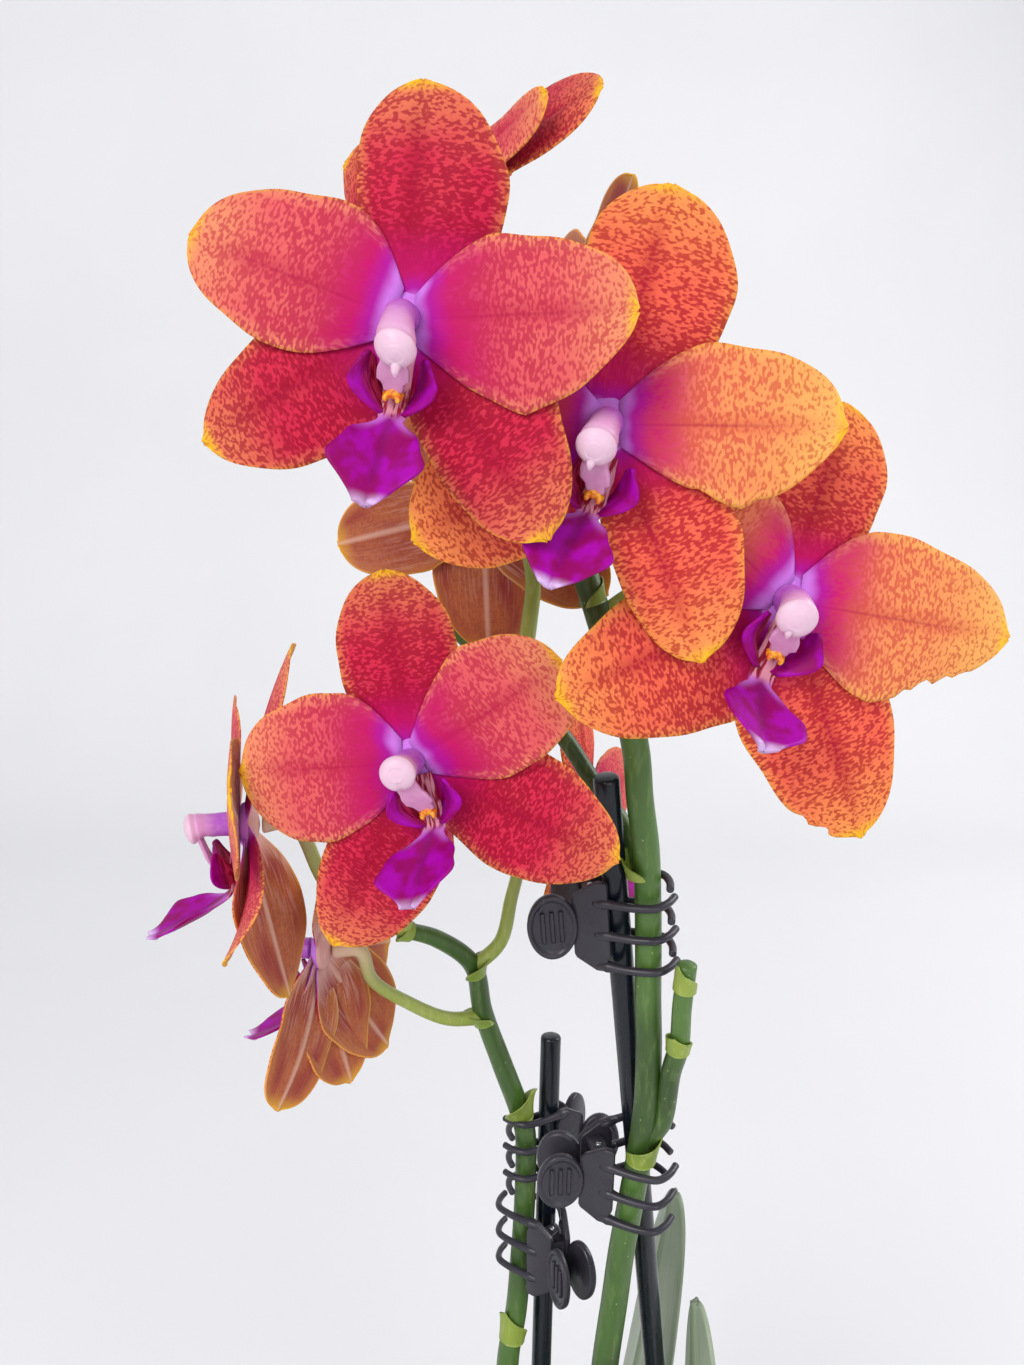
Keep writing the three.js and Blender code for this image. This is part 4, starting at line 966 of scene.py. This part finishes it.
def clip_half():
    """Half a clip, its pin along Z through the origin: plate, prongs, lugs and finger pad."""
    shell = Shell()
    high, thick = CLIP["plate_high"] / 2, CLIP["thick"]
    outline = [(-2.6, -5.4), (-1.6, -6.6), (1.2, -8.6), (2.4, -high), (4.2, -high), (4.4, -8.4)]
    outline += [(4.4, 6), (2.9, high), (1.6, high), (-2.2, 7.0), (-2.6, 6.2)]
    stand = Matrix.Translation((0, CLIP["plate_out"] + thick / 2, 0)) @ rotated(90, "X")
    add_slab(shell, outline, 0, thick, 0.25, matrix=stand)
    for level in CLIP["levels"]:
        path = [(x, y, level) for x, y in PRONG_PATH]
        add_tube(shell, path, (1.0, 0.82, 0.78, 0.76, 0.74, 0.72), 30, 12)
        # the web at the prong's root
        web = [(1.6, 3.25, level), (3.6, 3.35, level), (5.6, 3.55, level)]
        add_tube(shell, web, (0.75, 1.15, 0.8), 8, 12)
    turns = np.linspace(math.pi, 2 * math.pi, 11)
    lug = [(CLIP["lug_radius"] * math.cos(a), CLIP["lug_radius"] * math.sin(a)) for a in turns]
    for level in CLIP["lugs"]:
        add_slab(shell, [*lug, (1.6, 3), (-1.6, 3)], level, level + CLIP["lug_thick"], 0.2)
    pad = Matrix.Translation((-1.9, CLIP["plate_out"] - 0.1, 0)) @ rotated(-CLIP["pad_lean"], "Z")
    pad = pad @ Matrix.Translation((-CLIP["pad_across"] / 2, 0, 0))
    dish = [(0.0, -0.6), (0.9, -0.6), (0.98, -0.35), (1.0, 0.2), (0.99, 0.8), (0.95, 1.05), (0.89, 1.1),
            (0.84, 0.95), (0.8, 0.62), (0.7, 0.5), (0.0, 0.5)]
    add_turned(shell, dish, 40, stretch=(CLIP["pad_across"] / 2, CLIP["pad_high"] / 2),
               matrix=pad @ rotated(-90, "X"))
    for x in (-1.7, 0.0, 1.7):
        rib = [tuple(pad @ Vector((x, 0.62, z))) for z in (-3.2, 0, 3.2)]
        add_tube(shell, rib, (0.42, 0.46, 0.42), 8, 10)
    return shell


def clip_matrix(clip):
    """From a clip's own frame, its pin along Z and its prongs along X, to the part's."""
    z = Vector(clip["pin"]).normalized()
    x = Vector(clip["prongs"])
    x = (x - z * x.dot(z)).normalized()
    return Matrix.Translation(clip["at"]) @ Matrix((x, z.cross(x), z)).transposed().to_4x4()


def pin_and_spring():
    pin, spring = Shell(), Shell()
    half, radius = CLIP["pin_long"] / 2, CLIP["pin"]
    ends = (radius * 0.6, half), (radius, half - 0.2)
    add_turned(pin, [(r, -z) for r, z in ends] + list(ends[::-1]), 16)
    coils, wire, long = 7, 0.28, CLIP["spring_long"] - 0.6
    reach = CLIP["spring_out"] - wire

    def helix(u):
        a = u * coils * 2 * math.pi
        return triple(reach * np.cos(a), reach * np.sin(a), (u - 0.5) * long)

    add_tube(spring, helix, (wire, wire), coils * 20, 8)
    return pin, spring


HALF = clip_half()
PIN, SPRING = pin_and_spring()
for letter, clip in CLIPS.items():
    matrix = clip_matrix(clip)
    for side_name, side in (("front", clip["front"]), ("back", -clip["front"])):
        turned = matrix if side > 0 else matrix @ rotated(180, "X")
        turned = turned @ rotated(clip["open"], "Z")
        node = f"clip_{letter}_{side_name}"
        HALF.moved(turned).build(f"claw_{letter}_{side_name}", [PLASTIC], "clip", node,
                                 body=node if side_name == "back" else "root")
    PIN.moved(matrix).build(f"pin_{letter}", [STEEL], "steel", f"clip_{letter}_pin")
    SPRING.moved(matrix).build(f"spring_{letter}", [STEEL], "steel", f"clip_{letter}_spring")


# Leaves

# Each leaf: its midrib, the way across it, its half width, and how far it is folded up
LEAVES = (
    dict(path=((5.6, 8.9, 103), (13, 17, 140), (22, 25, 180), (30.5, 31, 221)),
         across=(-0.25, 1, -0.2), half=13, fold=0.18),
    dict(path=((9.9, -0.1, 103), (20.2, -7.4, 135), (29.5, -5.4, 175), (31.5, 4, 213)),
         across=(-0.2, 1, -0.1), half=12, fold=0.2),
    dict(path=((-5.0, 3.2, 100.5), (-31, 7, 112), (-58, 19, 117), (-90, 36, 100)),
         across=(0.25, 0.96, 0), half=20, fold=0.25),
    dict(path=((-4.4, -1.0, 106), (-32, -15, 133), (-68, -30, 138), (-101, -44, 114)),
         across=(-0.3, 1, 0.1), half=21, fold=0.25),
    dict(path=((1, -4.9, 102), (6, -34, 122), (14, -66, 128), (26, -98, 106)),
         across=(-0.95, -0.3, 0), half=20, fold=0.25),
)
LEAF_FORM, LEAF_WIDEST = dict(claw=0.2, rise=0.85, round=2.2), 0.56
for number, leaf in enumerate(LEAVES, 1):
    wide = unit(np.array(leaf["across"], float))

    def surface(s, t, leaf=leaf, wide=wide):
        u = np.clip(s, 0, 1)
        flat = u.ravel()
        middle = curve(leaf["path"], flat)
        tangent = unit(curve(leaf["path"], flat + 1e-3) - curve(leaf["path"], flat - 1e-3))
        side = unit(wide - tangent * (tangent @ wide)[:, None])
        lift = np.cross(side, tangent)
        reach = leaf["half"] * half_width(LEAF_FORM, flat, LEAF_WIDEST)
        across = t.ravel()
        fold = leaf["fold"] * reach * np.sqrt(across ** 2 + 0.006)
        fold = fold - 0.6 * np.exp(-(across * reach / 0.9) ** 2)
        wave = 0.5 * np.abs(across) ** 2 * np.sin(9 * flat + 3 * np.sign(across))
        points = middle + side * (reach * across)[:, None] + lift * (fold + wave)[:, None]
        return points.reshape(s.shape + (3,))

    def describe(s, t, front, leaf=leaf):
        place = triple(t * leaf["half"], s * 100, 1.0)
        return place, 0 * place

    shell = Shell()
    stations = 0.02 + 0.979 * (1 - (1 - np.linspace(0, 1, 60)) ** 1.7)
    add_blade(shell, surface, stations, np.linspace(-1, 1, 25),
              lambda s, t: 0.5 + 1.6 * np.sqrt(1 - 0.97 * t * t), describe=describe)
    shell.build(f"leaf_blade_{number}", [LEAF], "leaf", f"leaf_{number}")


# Pot, bark and roots

POT_HEIGHT, FOOT, RIM, WALL, FLOOR = 110, 41, 60, 3.6, 6
# The plant's short stem stands here
CROWN = (1, 2)


def flare(z):
    """The pot's outer radius at a height."""
    return FOOT + (RIM - 1.5 - FOOT) * math.sin(math.pi / 2 * min(z / POT_HEIGHT, 1))


shell = Shell()
heights = np.linspace(4, 103, 22)
outline = [(0.5, 1.2), (FOOT - 7, 1.2), (FOOT - 6.4, 0), (FOOT - 2, 0), (FOOT - 0.9, 0.7),
           (FOOT - 0.1, 2)]
outline += [(flare(z), z) for z in heights]
outline += [(flare(103) + 0.9, 103.6), (RIM - 0.4, 104.3), (RIM, 105.4), (RIM, 108), (RIM - 0.3, 109.3),
            (RIM - 1.2, 110), (RIM - 2.4, 109.8), (RIM - 3.3, 109), (RIM - 3.8, 107)]
outline += [(flare(z) - WALL, z) for z in heights[::-1]]
outline += [(flare(FLOOR) - WALL - 3, FLOOR), (0.5, FLOOR)]
add_turned(shell, outline, 128)
shell.build("pot_body", [POT], "pot", "pot")

FILL_GAP, CHIPS, CLEAR = 0.7, 190, 12
inner = flare(96) - WALL - FILL_GAP
shell = Shell()
add_turned(shell, [(0.5, FLOOR + 0.4), (flare(FLOOR) - WALL - 6, FLOOR + 0.4),
                   *[(flare(z) - WALL - FILL_GAP, z) for z in (20, 45, 70, 88)], (inner - 1.5, 92),
                   (0.5, 93)], 72)
bm = bmesh.new()
bmesh.ops.create_icosphere(bm, subdivisions=2, radius=1)
ball = np.array([v.co for v in bm.verts])
ball_faces = [[v.index for v in f.verts] for f in bm.faces]
bm.free()
# a chip is a boxed ball, made rough, stretched and tipped; none lies against the crown
for k in range(CHIPS):
    box = np.sign(ball) * np.abs(ball) ** 0.55
    box = box * (1 + 0.16 * rng.standard_normal((len(ball), 1)))
    size = np.array([rng.uniform(4, 8.5), rng.uniform(2.5, 4.6), rng.uniform(1.2, 2.4)])
    turn = Matrix.Rotation(rng.uniform(0, math.tau), 3, "Z")
    for axis in ("X", "Y"):
        turn = turn @ Matrix.Rotation(rng.normal(0, 0.35), 3, axis)
    reach = (inner - 7.5) * math.sqrt(rng.uniform(0.03, 1))
    angle = rng.uniform(0, math.tau)
    centre = (reach * math.cos(angle), reach * math.sin(angle), rng.uniform(92.5, 96.2))
    if math.dist(centre[:2], CROWN) < CLEAR:
        continue
    box = box * size
    shell.add(box @ np.array(turn).T + centre, ball_faces, place=box + k,
              tone=np.full_like(box, rng.uniform(0, 1)))
shell.build("bark_fill", [BARK], "bark", "bark")

ROOTS = (
    ((5, 0, 92), (17, -8, 100), (28, -14, 100), (36, -18, 93), (39, -20, 86)),
    ((-5, 3, 92), (-16, 10, 100), (-28, 17, 100), (-36, 22, 93), (-39, 24, 86)),
    ((-2, -3, 92), (-9, -14, 99), (-16, -26, 99), (-20, -34, 93), (-22, -38, 86)),
)
shell = Shell()
for path in ROOTS:
    add_tube(shell, path, (2.3, 2.2, 2.1, 2.0, 1.9), 50, 16)
stub = [(5.4, 78), (6.9, 88), (7.3, 96), (6.9, 103), (6.2, 109), (5.3, 113), (3.5, 113.8), (0.5, 114)]
add_turned(shell, stub, 40, slot=1, matrix=Matrix.Translation((*CROWN, 0)))
for turn, low, tall in ((0.4, 97, 9), (2.4, 98, 8), (4.4, 96, 10)):
    add_sheath(shell, (*CROWN, low), (0, 0, 1), (math.cos(turn), math.sin(turn), 0), 7.3, tall, 0.5, 0.02)
shell.build("crown_and_roots", [ROOT, STEM, SHEATH], "root", "roots")


# Floor, light and camera

def stage_sheet():
    """A pale floor that curves up into a backdrop; in metres."""
    wide, bend, radius, high = 30, 0.9, 0.5, 8.0
    path = [(-30.0, 0), (-3.0, 0), (0.5, 0), (bend, 0)]
    path += [(bend + radius * math.sin(a), radius - radius * math.cos(a))
             for a in np.linspace(0.1, math.pi / 2, 16)]
    path += [(bend + radius, high)]
    points = [(x, y, z) for y, z in path for x in (-wide, wide)]
    faces = [[2 * i, 2 * i + 1, 2 * i + 3, 2 * i + 2] for i in range(len(path) - 1)]
    mesh = bpy.data.meshes.new("floor")
    mesh.from_pydata(points, [], faces)
    mesh.polygons.foreach_set("use_smooth", [True] * len(faces))
    mesh.materials.append(plain_look("floor_paper", "#dededf", "#e0e0e2", 3.0, 0.9, 0.0, 0.0005))
    put("floor", mesh)


def area_light(name, at, aim, size, power, colour):
    """A soft disk of light; in metres and watts."""
    light = bpy.data.lights.new(name, "AREA")
    light.shape, light.size, light.energy, light.color = "DISK", size, power, colour
    lamp = put(name, light)
    lamp.location = at
    lamp.rotation_euler = (Vector(aim) - Vector(at)).to_track_quat("-Z", "Y").to_euler()


stage_sheet()
area_light("window", (1.1, 0.35, 1.0), (0, 0, 0.3), 0.9, 10, (1.0, 0.99, 0.97))
area_light("key", (-1.4, -2.2, 1.87), (0, 0, 0.33), 1.8, 55, (1.0, 0.98, 0.96))
area_light("fill", (1.0, -2.5, 0.9), (0, 0, 0.3), 1.4, 13, (1.0, 1.0, 1.0))

world = bpy.data.worlds.new("studio")
bpy.context.scene.world = world
world.use_nodes = True
sky = world.node_tree.nodes["Background"].inputs
sky["Color"].default_value = (0.92, 0.94, 1.0, 1.0)
sky["Strength"].default_value = 0.66
bpy.context.scene.view_settings.view_transform = "Standard"

# The photo's height and focal length in pixels, and how far the camera looks down, in degrees
IMAGE_HIGH, FOCAL_PIXELS, PITCH = 1365, 1100, 11
camera_data = bpy.data.cameras.new("camera")
camera_data.sensor_fit = "VERTICAL"
camera_data.sensor_height = 36
camera_data.lens = camera_data.sensor_height * FOCAL_PIXELS / IMAGE_HIGH
camera_data.clip_start = 0.01
camera = put("camera", camera_data)
camera.location = (-0.010, -0.2115, 0.396)
camera.rotation_euler = (math.radians(90 - PITCH), 0, 0)
bpy.context.scene.camera = camera
